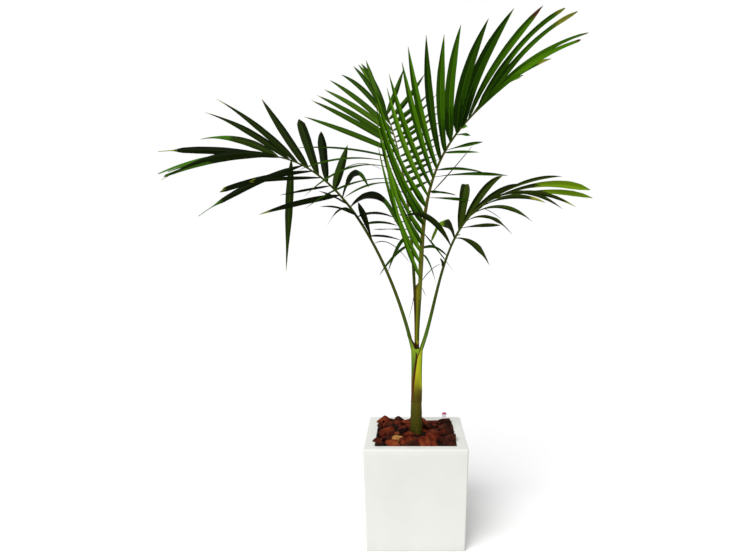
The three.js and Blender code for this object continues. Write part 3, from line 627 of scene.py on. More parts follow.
# %% Label
label_low, label_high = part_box("plant_label")
label_middle = (np.array(label_low) + np.array(label_high)) / 2
LABEL_STEPS = 14
LABEL_BEND = 0.002
LABEL_BAND = 0.006
LABEL_POINT = 0.19
LABEL_POINT_LENGTH = 0.15
LABEL_HEAD = 0.6
LABEL_HEAD_FROM = 0.94
LABEL_SHADES = {"label_white": "f1eef0", "label_pink": "c8567e"}
thick = (label_high.y - label_low.y) / 2
label_rings = []
for share in np.linspace(0, 1, LABEL_STEPS + 1):
    z = mix(label_low.z, label_high.z, share)
    foot = min(1, LABEL_POINT + share / LABEL_POINT_LENGTH)
    head = math.sqrt(max(0.02, 1 - max(0, (share - LABEL_HEAD_FROM) / (1 - LABEL_HEAD_FROM)) ** 2))
    half = (label_high.x - label_low.x) / 2 * min(foot, mix(LABEL_HEAD, 1, head))
    y = label_middle[1] + LABEL_BEND * share**2
    label_rings.append([(label_middle[0] + i * half, y + j * thick, z) for i, j in CORNERS])
label_points, label_faces = skin(label_rings)
label_finishes = []
for name, shade in LABEL_SHADES.items():
    material, shader = plain_finish(name, srgb(shade), 0.45, 0.4)
    tree = material.node_tree
    add_relief(tree, shader, mottle(tree, 600, detail=2), 0.0001, 0.3)
    label_finishes.append(material)
band = [np.mean([label_points[i][2] for i in face]) > label_high.z - LABEL_BAND for face in label_faces]
add_piece("label_strip", label_points, label_faces, label_finishes, "label", ["plant_label"], band)

# %% [markdown]
# ## Stem
# The stem is made of old leaf bases: smooth, olive below and greener above, with fine
# upright fibres and a few rings where leaves have dropped off. It flares at the soil and
# swells again where the leaf bases open. A cylinder would miss the flare, so rings follow
# the radius that the CAD has at each height, and small relief is added to the radius.

# %% Stem shape
STEM_RINGS = 150
STEM_SIDES = 56
SCARS = (0.338, 0.362, 0.394, 0.431)
SCAR_DEPTH = 0.0005
FIBRE_DEPTH = 0.00035
SCAR_SLANT = 0.001
GROOVE_HALF = 0.0016
RIDGE_HALF = 0.003
RIDGE_ABOVE = 0.004
SUNNY_SIDE = 0.07
STEM_TOP = STEM_FORK[2] - 0.0005


def scar_relief(z):
    """How deep an old leaf's scar cuts at height z: a groove with a small ridge above it."""
    grooves = [math.exp(-(((z - scar) / GROOVE_HALF) ** 2)) for scar in SCARS]
    ridges = [math.exp(-(((z - scar - RIDGE_ABOVE) / RIDGE_HALF) ** 2)) for scar in SCARS]
    return sum(groove - ridge for groove, ridge in zip(grooves, ridges))


def upright_noise(turn, z, around, along):
    """Noise round the stem, drawn out along it where along is small."""
    return noise.noise(Vector((around * math.cos(turn), around * math.sin(turn), along * z)))


def relief_at(turn, z):
    """Fibres that run up the stem, in metres: coarse ones, and fine ones on them."""
    return FIBRE_DEPTH * (upright_noise(turn, z, 4, 9) + 0.6 * upright_noise(turn, z, 13, 14))


stem_rings, stem_tones = [], []
for z in np.linspace(STEM_FOOT[2], STEM_TOP, STEM_RINGS):
    ring = []
    for turn in np.linspace(0, 2 * math.pi, STEM_SIDES, endpoint=False):
        scar = SCAR_DEPTH * scar_relief(z + SCAR_SLANT * math.cos(turn))
        radius = ramp(STEM_RADIUS, z) + relief_at(turn, z) - scar
        ring.append(stem_centre(z) + np.array([radius * math.cos(turn), radius * math.sin(turn), 0]))
        stem_tones.append((z - STEM_FOOT[2]) / (STEM_FORK[2] - STEM_FOOT[2]) + SUNNY_SIDE * math.cos(turn))
    stem_rings.append(ring)
print("rings in the stem:", len(stem_rings))

# %% [markdown]
# The colour climbs with height, from brown-olive at the soil to yellow-green at the fork.
# The tone stored at each point says how far up it is. Streaks of noise, drawn out along the
# stem, shift it a little, so the change is not a clean band.


# %% Finish for everything green and round
def green_finish(name, stops, streak=0.16, roughness=0.42, shine=0.06, scale=60, reach=0.06):
    """A finish whose colour follows the tone stored at each point, with upright streaks."""
    material, shader = plain_finish(name, srgb(stops[0][1]), roughness, shine)
    tree = material.node_tree
    tone = add_node(tree, "ShaderNodeAttribute", attribute_name="tone")
    streaks = mottle(tree, scale, (1, 1, reach), 5)
    shift = range_by(tree, streaks, -streak, streak)
    total = add_node(tree, "ShaderNodeMath", operation="ADD")
    tree.links.new(tone.outputs["Fac"], total.inputs[0])
    tree.links.new(shift, total.inputs[1])
    tree.links.new(colour_by(tree, total.outputs[0], stops), shader.inputs["Base Color"])
    tree.links.new(range_by(tree, streaks, roughness - 0.08, roughness + 0.12), shader.inputs["Roughness"])
    add_relief(tree, shader, mottle(tree, 4 * scale, (1, 1, reach), 4), 0.0003, 0.5)
    return material


STEM_COLOURS = [
    (0.0, "2d2a0c"), (0.12, "43410f"), (0.3, "4b4810"), (0.42, "565010"), (0.6, "646f16"), (0.85, "7a9020"),
    (1.0, "82a028"),
]
stem_finish = green_finish("stem_skin", STEM_COLOURS)
add_piece("stem_trunk", *skin(stem_rings), [stem_finish], "stem", ["stem"], tone=stem_tones)

# %% [markdown]
# ## Fronds
# A frond is a leaf stalk that runs on as the rib, with leaflets in two rows. Its midrib is a
# Bezier curve in an upright plane, given by four points (distance out, height). Leaflets
# could be placed one at a time, but then a whole row could never be bent or thinned at
# once. So along each row the leaflets' length, width, angle, lift, arch and turn follow
# short lists of (share of the row, value), by the same rule as in the CAD, with a little
# jitter that is the same every time. About half of the leaflets stand apart in the photo in
# some way, and they get values of their own, by their number in the row.
#
# A row grows on one hand of the rib and starts at first, a share of the midrib. kinds names
# the outline from a leaflet's number on, sweep bows the leaflets sideways, and tone chooses
# among their greens. A second ramp paints one half of each blade lighter, a painted
# highlight, and a third paints the blade darker near the rib, as painted shade. Lengths and
# widths are in metres, arch and sweep are shares of the length, and the rest are degrees. A
# leaflet with values of its own can also have a station, its place on the midrib, a shade, a
# tip of another colour, a twist, or a droop of its end.


# %% A leaflet with values of its own
def aimed(kind, width, angle, lift, length, arch, **more):
    """The values that one leaflet has in place of its row's."""
    return dict(kind=kind, width=width, angle=angle, lift=lift, length=length, arch=arch, **more)


def count_leaflets(*rows):
    return sum(row["count"] for row in rows)


# %% [markdown]
# The left frond bends over low, nearly level with the picture, and has the darkest
# leaflets: their greens are partly their own and partly painted shade, for the shaded
# undersides that face the viewer. Its nearer row hangs down from the rib, and its farther
# row stands up over it.

# %% Rows of the left frond
LEFT_NEAR_ROW = dict(
    hand=1, count=12, first=0.47,
    length=[
        (0, 0.17), (0.18, 0.19), (0.27, 0.15), (0.36, 0.30), (0.45, 0.22), (0.64, 0.34), (0.8, 0.41),
        (1, 0.39),
    ],
    width=[
        (0, 0.017), (0.09, 0.008), (0.27, 0.007), (0.36, 0.014), (0.45, 0.008), (0.6, 0.016),
        (0.75, 0.022), (1, 0.028),
    ],
    angle=[
        (0, 59), (0.09, 78), (0.27, 66), (0.45, 78), (0.55, 68), (0.64, 68), (0.73, 57), (0.91, 25),
        (1, 16),
    ],
    lift=[(0, 20), (0.09, -20), (0.27, -8), (0.36, -50), (0.5, -24), (0.64, -38), (0.73, -68), (1, -70)],
    arch=[(0, 0.05), (0.09, 0.5), (0.18, 0.14), (0.3, 0.05), (0.5, 0), (0.7, 0.1), (0.91, 0.2), (1, 0.14)],
    turn=[(0, -35), (0.5, -50), (1, -80)],
    odd={
        0: aimed("late", 0.021, 38.1, 22.7, 0.16, 0.11, turn=85, shade=0, station=0.441),
        4: dict(width=0.019, tip=("yellow", 0.12), shade=0),
        6: dict(kind="blunt", tip=("yellow", 0.02)),
        7: dict(kind="blunt", tip=("yellow", 0.02), shade=0),
        8: dict(kind="thread", tip=("green", 0.2), shade=0),
        9: aimed("thin", 0.027, 110, -78, 0.38, 0, turn=40),
        10: dict(kind="thin", tip=("yellow", 0.03), shade=0),
        11: dict(kind="tongues", tip=("green", 0.45), shade=1),
    },
)
LEFT_FAR_ROW = dict(
    hand=-1, count=13, first=0.47,
    length=[
        (0, 0.25), (0.17, 0.27), (0.25, 0.30), (0.33, 0.24), (0.42, 0.27), (0.58, 0.29), (0.67, 0.355),
        (0.75, 0.395), (0.83, 0.385), (0.92, 0.35), (1, 0.433),
    ],
    width=[
        (0, 0.008), (0.17, 0.010), (0.25, 0.018), (0.33, 0.023), (0.42, 0.022), (0.5, 0.029),
        (0.67, 0.028), (1, 0.026),
    ],
    angle=[
        (0, 100), (0.17, 100), (0.25, 110), (0.33, 85), (0.42, 62), (0.58, 40), (0.67, 25), (0.75, 13),
        (0.92, 14), (1, 4),
    ],
    lift=[
        (0, 14), (0.17, 18), (0.25, 18), (0.33, 16), (0.42, 31), (0.58, 34), (0.67, 55), (0.75, 76),
        (0.83, 58), (0.92, 8), (1, -20),
    ],
    arch=[
        (0, 0.06), (0.17, 0.15), (0.25, 0.6), (0.33, 0.5), (0.42, 0), (0.7, 0), (0.75, 0.15), (0.92, 0.18),
        (1, 0.05),
    ],
    turn=[(0, 38), (0.25, 55), (0.34, 15), (0.42, -30), (0.7, -65), (1, -85)],
    odd={
        3: aimed("hook", 0.028, 108, 14, 0.34, 0.4, droop=52, bend_at=0.5, shade=0, tip=("green", 0.36)),
        4: aimed("hook", 0.025, 86.1, 16.6, 0.24, 0.58, twist=50, shade=0, tip=("green", 0.4)),
        5: aimed("lance", 0.03, 58.8, 49.8, 0.2, 0),
        6: aimed("round", 0.032, 41, 59.4, 0.2, 0, tip=("brown", 0.01)),
        7: dict(width=0.035, kind="blunt", shade=1, tip=("brown", 0.01)),
        8: dict(tip=("brown", 0.06)),
        9: aimed("thin", 0.024, 14.1, 66, 0.39, 0.09, tip=("yellow", 0.1)),
        10: aimed("thin", 0.024, 13.2, 47.9, 0.385, 0.1, tip=("yellow", 0.06)),
        11: dict(kind="thin", tip=("green", 0.4)),
        12: dict(kind="thread", tip=("yellow", 0.16)),
    },
)
print("left frond:", count_leaflets(LEFT_NEAR_ROW, LEFT_FAR_ROW), "leaflets")

# %% [markdown]
# The right frond is the shortest. It climbs beside the tall stalks and bends over to the
# right. Its nearer leaflets are slender and widest beyond their middle.

# %% Rows of the right frond
RIGHT_FAR_ROW = dict(
    hand=1, count=8, first=0.64,
    length=[
        (0, 0.26), (0.14, 0.25), (0.29, 0.22), (0.43, 0.30), (0.57, 0.30), (0.71, 0.37), (0.86, 0.42),
        (1, 0.42),
    ],
    width=[
        (0, 0.024), (0.29, 0.033), (0.43, 0.030), (0.57, 0.024), (0.71, 0.020), (0.86, 0.030), (1, 0.028),
    ],
    angle=[(0, 84), (0.14, 104), (0.29, 46), (1, 40)],
    lift=[(0, 44), (0.14, 23), (0.29, 32), (0.43, 2), (0.57, -30), (0.71, -18), (0.86, -30), (1, -28)],
    arch=[
        (0, 0.14), (0.14, 0.58), (0.29, 0.08), (0.43, 0.3), (0.57, 0.3), (0.71, 0.13), (0.86, 0.23),
        (1, 0.17),
    ],
    turn=[(0, 0), (0.14, -15), (0.28, -75), (1, -75)],
    odd={
        0: aimed("lance", 0.019, 81.9, 141.3, 0.24, 0.4, turn=-10, shade=0),
        1: dict(kind="hook", width=0.031, tip=("fresh", 0.58), shade=0, droop=40, twist=50),
        2: dict(kind="slant", width=0.036, shade=1, tip=("brown", 0.01)),
        3: aimed("lance", 0.025, 33.9, 0.7, 0.25, 0.23, shade=1),
        4: aimed("lance", 0.018, 44.3, -11.1, 0.27, 0.16, shade=0),
        5: aimed("late", 0.012, 30.6, -35.7, 0.33, 0.18, shade=1),
        6: aimed("spoon", 0.025, 33.2, -51.2, 0.37, 0.215, tip=("fresh", 0.5)),
        7: aimed("spoon", 0.019, 36.8, -44.1, 0.37, 0.13, tip=("fresh", 0.48)),
    },
)
RIGHT_NEAR_ROW = dict(
    hand=-1, count=8, first=0.67,
    length=[(0, 0.20), (0.14, 0.25), (0.43, 0.28), (0.57, 0.30), (0.71, 0.33), (1, 0.38)],
    width=[(0, 0.018), (0.5, 0.017), (1, 0.026)],
    angle=[(0, 92), (0.14, 68), (0.29, 73), (0.57, 54), (1, 50)],
    lift=[(0, -43), (0.14, -33), (0.29, -40), (0.7, -41), (1, -33)],
    arch=[(0, 0.27), (0.14, 0.08), (0.29, 0.3), (0.57, 0.22), (0.71, 0.26), (1, 0.12)],
    turn=[(0, -5), (0.14, 45), (0.29, 40), (0.57, 60), (1, 75)],
    odd={
        0: aimed("late", 0.020, 95.2, -47.5, 0.20, 0.26, station=0.698),
        1: dict(kind="thin", width=0.004, length=0.03),
        2: aimed("late", 0.012, 64.2, -43.4, 0.18, 0.05, shade=0),
        3: aimed("late", 0.013, 74.1, -44.9, 0.22, 0.3, shade=0),
        4: aimed("late", 0.013, 63.3, -46.4, 0.25, 0.28, shade=1),
        5: aimed("late", 0.013, 50.1, -42.5, 0.26, 0.22, shade=0, tip=("yellow", 0.2)),
        6: aimed("late", 0.012, 51.4, -45.5, 0.29, 0.31, shade=0),
        7: aimed("late", 0.012, 51.0, -39.1, 0.32, 0.21, shade=0, tip=("yellow", 0.1)),
    },
)
print("right frond:", count_leaflets(RIGHT_FAR_ROW, RIGHT_NEAR_ROW), "leaflets")

# %% [markdown]
# The front frond leans towards the viewer and is the brightest: its greens are partly
# painted light, for light shining through the leaflets. Its left row is a close comb of
# broad leaflets whose feet near the rib are painted darker, as painted shade, and its right
# row is thin and ragged, in darker greens that are partly painted shade.

# %% Rows of the front frond
FRONT_LEFT_ROW = dict(
    # The feet of these leaflets near the rib are painted darker, as painted shade.
    hand=-1, count=21, first=0.27, painted_shade_foot=0.45,
    kinds=[(0, "even"), (3, "broad"), (8, "slim"), (14, "full")],
    length=[(0, 0.44), (0.3, 0.45), (0.5, 0.435), (0.7, 0.41), (0.9, 0.41), (1, 0.38)],
    width=[
        (0, 0.0135), (0.15, 0.013), (0.35, 0.0155), (0.5, 0.019), (0.65, 0.0255), (0.75, 0.031),
        (0.85, 0.034), (1, 0.03),
    ],
    sweep=[
        (0, 0.15), (0.15, 0.17), (0.35, 0.12), (0.5, 0.05), (0.6, 0.07), (0.7, 0.09), (0.8, 0.14),
        (0.86, 0.16), (0.89, 0), (1, 0),
    ],
    angle=[(0, 35), (0.25, 43), (0.45, 50), (0.6, 43), (0.72, 40), (0.85, 23), (0.95, 24), (1, 27)],
    lift=[(0, -9), (0.25, -5), (0.45, -5), (0.6, 0), (0.72, -4), (0.85, -11), (0.95, -22), (1, -39)],
    arch=[(0, 0.03), (0.6, 0.03), (1, 0.06)],
    turn=[(0, -12), (0.15, -20), (0.35, -26), (0.5, -32), (0.75, -45), (1, -60)],
    tone=[(0, 1.5), (0.5, 1.3), (0.65, 1.3), (1, 1.1)],
    # One half of each blade is painted lighter than the other, a painted highlight.
    painted_lit_half=[(0, 2), (0.55, 2), (0.6, 1), (1, 1)],
    odd={
        0: dict(station=0.25),
        12: dict(angle=40.9, lift=3.2, length=0.42),
        15: dict(angle=35.5, lift=-6.1, length=0.41),
        16: dict(angle=28, lift=-5.4, length=0.41),
        17: dict(kind="round", width=0.019, angle=22.5, lift=-11.2, length=0.41, tip=("brown", 0.09)),
        18: aimed("strap", 0.0125, 20.3, -18.4, 0.40, 0.2, shade=1, tip=("yellow", 0.08)),
        19: aimed("strap", 0.011, 23.7, -24.4, 0.40, 0.17, shade=1, tip=("yellow", 0.2)),
        20: aimed("fork", 0.023, 15.3, -64.7, 0.38, 0.17, shade=2, station=0.94),
    },
)
FRONT_RIGHT_ROW = dict(
    hand=1, count=14, first=0.32,
    length=[(0, 0.16), (0.08, 0.22), (0.15, 0.20), (0.23, 0.14), (0.31, 0.27), (0.46, 0.32), (1, 0.36)],
    width=[(0, 0.008), (0.6, 0.010), (0.8, 0.022), (1, 0.026)],
    angle=[
        (0, 125), (0.15, 112), (0.23, 78), (0.46, 80), (0.61, 83), (0.69, 96), (0.77, 101), (0.85, 69),
        (1, 48),
    ],
    lift=[
        (0, 14), (0.08, 2), (0.15, 9), (0.23, -10), (0.31, -3), (0.38, -18), (0.46, -5), (0.54, 14),
        (0.69, 26), (0.85, 25), (1, 18),
    ],
    arch=[(0, 0.44), (0.08, 0.22), (0.15, 0), (0.31, 0.1), (0.6, 0.05), (1, 0.03)],
    turn=[(0, 32), (0.16, 25), (0.24, -15), (0.5, -20), (0.65, -50), (1, -68)],
    # These darker greens are partly painted shade, on the frond's shaded right side.
    tone=[(0, 0.3), (1, 0.5)],
    odd={
        0: aimed("thin", 0.007, 139.3, 2.1, 0.15, 0.33, station=0.345),
        1: aimed("broad", 0.011, 105.4, -9, 0.13, 0.26),
        2: aimed("thin", 0.006, 134.8, -27.8, 0.175, 0.02),
        3: aimed("late", 0.009, 72.8, -10.5, 0.06, 0.17, station=0.81),
        4: aimed("late", 0.010, 86, -19, 0.17, 0.02, station=0.559),
        5: aimed("broad", 0.008, 90, -3.9, 0.14, 0.05),
        6: aimed("late", 0.011, 74, -32.1, 0.26, 0.07),
        7: aimed("thin", 0.009, 78.6, -31.8, 0.20, 0.13, station=0.665),
        8: aimed("lance", 0.009, 71.6, -18.5, 0.13, 0.03),
        9: aimed("late", 0.011, 64.5, -8.7, 0.15, 0.03, station=0.745),
        10: aimed("thin", 0.013, 79.6, 8.7, 0.04, 0.3, shade=2),
        11: aimed("torn", 0.016, 50.3, 21.9, 0.24, 0.2, turn=-50, shade=1, tip=("green", 0.08)),
        12: aimed("late", 0.015, 49.8, 19.6, 0.30, 0.16, turn=-50, shade=0, tip=("yellow", 0.2)),
        13: aimed("thin", 0.010, 62.2, 25.2, 0.22, 0.12, shade=0),
    },
)
print("front frond:", count_leaflets(FRONT_LEFT_ROW, FRONT_RIGHT_ROW), "leaflets")

# %% [markdown]
# The back frond rises behind the front one and is partly hidden by it. Its lowest leaflets
# are short or slender, and those near its tip are broader.

# %% Rows of the back frond
BACK_LEFT_ROW = dict(
    hand=1, count=22, first=0.385, kinds=[(0, "lance"), (8, "late"), (12, "lance")],
    length=[
        (0, 0.20), (0.1, 0.20), (0.14, 0.075), (0.33, 0.075), (0.38, 0.26), (0.43, 0.36), (0.62, 0.345),
        (0.76, 0.31), (1, 0.28),
    ],
    width=[(0, 0.008), (0.36, 0.008), (0.38, 0.0065), (0.57, 0.007), (0.62, 0.019), (1, 0.020)],
    angle=[
        (0, 122), (0.05, 125), (0.1, 94), (0.33, 90), (0.38, 105), (0.48, 101), (0.57, 80), (0.62, 60),
        (0.71, 50), (0.81, 33), (0.95, 4), (1, 3),
    ],
    lift=[
        (0, 18), (0.05, 28), (0.1, 23), (0.2, 0), (0.38, 9), (0.43, -9), (0.52, -8), (0.57, -17),
        (0.67, -9), (0.76, -16), (0.86, -16), (0.95, -2), (1, 0),
    ],
    arch=[
        (0, 0.3), (0.1, 0), (0.38, 0.2), (0.48, 0.27), (0.57, 0.08), (0.62, 0.04), (0.81, 0.06),
        (0.86, 0.17), (1, 0.14),
    ],
    turn=[(0, 12), (0.08, 12), (0.1, 64), (0.34, 62), (0.38, 0), (0.58, -32), (0.75, -48), (1, -45)],
    tone=[(0, 0.8), (0.55, 0.8), (0.62, 1.7), (1, 1.5)],
    odd={
        0: aimed("lance", 0.009, 120.6, 24.4, 0.22, 0.15),
        1: aimed("lance", 0.012, 137.6, 7.5, 0.16, 0.42),
    },
)
BACK_RIGHT_ROW = dict(
    hand=-1, count=20, first=0.42, kinds=[(0, "thin"), (17, "lance")],
    length=[
        (0, 0.02), (0.27, 0.02), (0.3, 0.17), (0.4, 0.22), (0.6, 0.30), (0.8, 0.31), (0.9, 0.26),
        (1, 0.22),
    ],
    width=[(0, 0.014), (0.3, 0.014), (0.42, 0.0125), (0.75, 0.0125), (0.85, 0.018), (1, 0.020)],
    angle=[(0, 75), (0.5, 62), (0.63, 56), (0.84, 52), (0.89, 48), (0.95, 33), (1, 20)],
    lift=[(0, -20), (0.5, -14), (0.63, -3), (0.84, 12), (0.89, 28), (1, 36)],
    arch=[(0, 0.08), (0.5, 0), (0.7, -0.1), (1, -0.05)],
    turn=[(0, 5), (0.5, 12), (0.85, 12), (1, -20)],
    # These darker greens are partly painted shade, where the front frond shades this row.
    tone=[(0, 0.3), (1, 0.6)],
    odd={
        19: dict(angle=18.1, lift=114.6, length=0.22, arch=0),
    },
)
print("back frond:", count_leaflets(BACK_LEFT_ROW, BACK_RIGHT_ROW), "leaflets")

# %% [markdown]
# Each frond leans its own way, its azimuth, in degrees from the picture's right round to the
# back. A photo shows no depth, so that was chosen from how foreshortened the leaflets look.
# The rib's radius goes from petiole to tip_radius, and the two tall ribs swell where their
# leaflets begin, which is the share of the midrib called blade.

# %% The four fronds
FRONDS = {
    "left": dict(
        azimuth=172, blade=0.445, seed=100, petiole=0.0078, tip_radius=0.0022,
        midrib=[(0.0095, 0.618), (0.050, 0.800), (0.210, 1.250), (0.510, 1.272)],
        rows=[LEFT_NEAR_ROW, LEFT_FAR_ROW],
    ),
    "right": dict(
        azimuth=-12, blade=0.61, seed=200, petiole=0.0082, tip_radius=0.0022,
        midrib=[(0.0185, 0.618), (0.080, 0.784), (0.080, 1.020), (0.244, 1.113)],
        rows=[RIGHT_FAR_ROW, RIGHT_NEAR_ROW],
    ),
    "front": dict(
        azimuth=-40, blade=0.25, seed=300, petiole=0.0074, tip_radius=0.0026,
        swell=[(0, 1), (0.19, 1), (0.32, 1.45), (0.45, 1.3), (0.65, 1), (1, 1)],
        midrib=[(0.010, 0.640), (0.036, 1.028), (-0.010, 1.237), (0.291, 1.405)],
        rows=[FRONT_LEFT_ROW, FRONT_RIGHT_ROW],
    ),
    "back": dict(
        azimuth=120, blade=0.365, seed=400, petiole=0.005, tip_radius=0.002,
        swell=[(0, 1), (0.17, 1), (0.25, 1.3), (0.4, 1.2), (0.6, 1), (1, 1)],
        midrib=[(-0.001, 0.640), (0.002, 1.033), (0.092, 1.308), (0.221, 1.453)],
        rows=[BACK_LEFT_ROW, BACK_RIGHT_ROW],
    ),
}
print("leaflets:", sum(count_leaflets(*frond["rows"]) for frond in FRONDS.values()))

# %% The line of a midrib
UP = np.array([0.0, 0.0, 1.0])
CURVE_STEPS = 200


def unit(v):
    return v / np.linalg.norm(v, axis=-1, keepdims=True)


class Midrib:
    """A frond's midrib, asked for by the share of its length."""

    def __init__(self, frond):
        turn = math.radians(frond["azimuth"])
        out = np.array([math.cos(turn), math.sin(turn), 0])
        self.side = np.array([-math.sin(turn), math.cos(turn), 0])
        self.controls = [out * reach + UP * height for reach, height in frond["midrib"]]
        self.t = np.linspace(0, 1, CURVE_STEPS + 1)
        points = np.array([self.point(t) for t in self.t])
        run = np.concatenate([[0], np.cumsum(np.linalg.norm(np.diff(points, axis=0), axis=1))])
        self.length = run[-1]
        self.share = run / run[-1]
        self.heights = points[:, 2]

    def point(self, t):
        a, b, c, d = self.controls
        return (1 - t) ** 3 * a + 3 * t * (1 - t) ** 2 * b + 3 * t * t * (1 - t) * c + t**3 * d

    def frame_at(self, share):
        """Point, direction, sideways direction and upper direction at a share of the length."""
        t = np.interp(share, self.share, self.t)
        a, b, c, d = self.controls
        along = unit((1 - t) ** 2 * (b - a) + 2 * t * (1 - t) * (c - b) + t * t * (d - c))
        return self.point(t), along, self.side, np.cross(along, self.side)

    def share_at_height(self, z):
        return float(np.interp(z, self.heights[: CURVE_STEPS // 2], self.share[: CURVE_STEPS // 2]))


MIDRIBS = {name: Midrib(frond) for name, frond in FRONDS.items()}
print("midribs:", {name: round(midrib.length, 3) for name, midrib in MIDRIBS.items()})

# %% [markdown]
# ## Leaf stalks and ribs
# A stalk is round at the back with a shallow channel in front, and it thins towards the tip
# of the frond. From where the leaflets begin it has a low keel instead. Stalk and rib could
# be two tubes, but one skin leaves no joint where the blade begins. The stalks of the left
# and right fronds start inside the top of the stem, and those of the two tall fronds inside
# the centre stalk.


# %% Ribs
RIB_SIDES = 16
RIB_STEP = 0.006
RIB_FLATNESS = 0.92
CHANNEL_DEPTH = 0.26
KEEL_HEIGHT = 0.10
KEEL_EASE = 0.08
EVEN = [(0, 1), (1, 1)]


def rib_rings(frond, midrib, first):
    """Rings and tones of a stalk and rib, channelled up to the blade and keeled from there."""
    rings, tones = [], []
    for share in np.linspace(first, 1, int((1 - first) * midrib.length / RIB_STEP)):
        point, along, side, upper = midrib.frame_at(share)
        radius = mix(frond["petiole"], frond["tip_radius"], share) * ramp(frond.get("swell", EVEN), share)
        blade = min(1, max(0, (share - frond["blade"]) / KEEL_EASE))
        ring = []
        for turn in np.linspace(0, 2 * math.pi, RIB_SIDES, endpoint=False):
            facing = max(0, math.sin(turn))
            channel = 1 - CHANNEL_DEPTH * (1 - blade) * facing**6 + KEEL_HEIGHT * blade * facing**10
            way = side * math.cos(turn) + RIB_FLATNESS * upper * math.sin(turn)
            ring.append(point + channel * radius * way)
            tones.append(share)
        rings.append(ring)
    return rings, tones


RIB_COLOURS = {
    "left": [(0, "3e5c18"), (0.2, "424e0e"), (0.5, "363f0a"), (1, "333b0e")],
    "right": [(0, "4e7820"), (0.3, "3c4a0e"), (0.65, "3a470e"), (1, "42500f")],
    "front": [(0, "5f5c17"), (0.25, "646a1d"), (0.5, "5c571c"), (1, "454c18")],
    "back": [(0, "34380f"), (0.3, "40481a"), (0.6, "5a4d22"), (1, "42501b")],
}
RIB_STARTS = {"left": 0.613, "right": 0.6185, "front": 0.785, "back": 0.785}
for name, frond in FRONDS.items():
    rings, tones = rib_rings(frond, MIDRIBS[name], MIDRIBS[name].share_at_height(RIB_STARTS[name]))
    finish = green_finish("rib_" + name, RIB_COLOURS[name], streak=0.12, scale=90, reach=0.3)
    add_piece("stalk_" + name, *skin(rings), [finish], "petiole", ["petiole_" + name], tone=tones)

# %% [markdown]
# ## Leaf bases
# Each outer frond clasps the stem with a sheath: a thin green wall that wraps the stem, is
# open on one side and gathers at the top into the stalk. Its margins are dry and
# red-brown. It could be cut from a tube, but then it would end in a step. Drawing an arc
# through each level, which narrows, thins and moves from the stem over to the stalk,
# makes the wall run smoothly into it. reach says how far round each margin comes at each
# height, in degrees, and gap is how far the wall stands off the stem. The tone stored at
# each point climbs with height, is higher on the flank, the middle of the arc, and lower at
# the margins.

# %% Sheaths that run into the stalks
SHEATH_STEPS = 30
SHEATH_RINGS = 70
GATHER_FROM = 0.596
GATHER_TO = 0.668
THICKENS_OVER = 0.05
THINS_FROM = 0.64
THINS_BY = 0.85
WALL_LEAST = 0.00008
STALK_GAP = 0.0002
MARGIN_STEPS = 1.6
MARGIN_THINS = 0.6
MARGIN_BROWN = 0.3
FLANK_END = 0.45
FLANK_FADE = 0.3
FLANK_FOOT = 0.15
FLANK_RISE = 0.2
SHEATHS = {
    "right": dict(
        reach=[(0.440, 150), (0.470, 130), (0.535, 104), (0.590, 80), (0.6195, 46), (0.640, 62), (0.668, 86)],
        gap=0.0013, wall=0.0011, flank=0.85,
    ),
    "left": dict(
        reach=[(0.470, 34), (0.535, 70), (0.590, 100), (0.612, 104), (0.632, 92), (0.668, 86)],
        gap=0.0003, wall=0.0009, flank=0.3,
    ),
}


def smooth(share):
    """Eases in and out: 0 below 0, 1 above 1, with no kink between."""
    share = min(1, max(0, share))
    return share * share * (3 - 2 * share)


def sheath_rings(name, reach, gap, wall, flank):
    """Rings of a sheath, each its outer arc and then its inner arc back, and their tones."""
    frond, midrib = FRONDS[name], MIDRIBS[name]
    facing = math.radians(frond["azimuth"])
    rings, tones = [], []
    for z in np.linspace(reach[0][0], GATHER_TO, SHEATH_RINGS):
        gathered = smooth((z - GATHER_FROM) / (GATHER_TO - GATHER_FROM))
        share = midrib.share_at_height(max(z, STEM_FORK[2] - 0.001))
        stalk = midrib.frame_at(share)[0] * (1, 1, 0) + UP * z
        centre = mix(stem_centre(min(z, STEM_FORK[2])) * (1, 1, 0) + UP * z, stalk, gathered)
        stalk_radius = mix(frond["petiole"], frond["tip_radius"], share)
        inner = mix(ramp(STEM_RADIUS, z) + gap, stalk_radius + STALK_GAP, gathered)
        half = math.radians(ramp(reach, z))
        thinned = THINS_BY * smooth((z - THINS_FROM) / (GATHER_TO - THINS_FROM))
        fade = smooth((z - reach[0][0]) / THICKENS_OVER) * (1 - thinned)
        arc = np.linspace(-1, 1, SHEATH_STEPS + 1)
        outer_ring, inner_ring = [], []
        for s in arc:
            turn = facing + half * s
            way = np.array([math.cos(turn), math.sin(turn), 0])
            thick = WALL_LEAST + wall * fade * (1 - MARGIN_THINS * abs(s) ** 8)
            outer = inner + thick + 0.5 * relief_at(turn, z) * fade
            outer_ring.append(centre + way * outer)
            inner_ring.append(centre + way * inner)
        rings.append(outer_ring + inner_ring[::-1])
        height = (z - reach[0][0]) / (GATHER_TO - reach[0][0])
        risen = flank * (1 - height) * smooth((height - FLANK_FOOT) / FLANK_RISE)
        green = [risen * smooth((FLANK_END - abs(s)) / FLANK_FADE) for s in arc]
        brown = [MARGIN_BROWN * (1 - height) * abs(s) ** 6 for s in arc]
        across = [height + more - less for more, less in zip(green, brown)]
        tones += across + across[::-1]
    return rings, tones


def sheath_face_finishes(faces, margin):
    """1 for faces near a free margin, else 0, read from the place of a point in its ring."""
    around = 2 * (SHEATH_STEPS + 1)
    found = []
    for face in faces:
        steps = [min(i % around, around - 1 - i % around) for i in face]
        edge = np.mean(steps) < margin or np.mean(steps) > SHEATH_STEPS - margin
        found.append(int(edge and len(face) == 4))
    return found


print("sheaths start at", {name: sizes["reach"][0][0] for name, sizes in SHEATHS.items()})

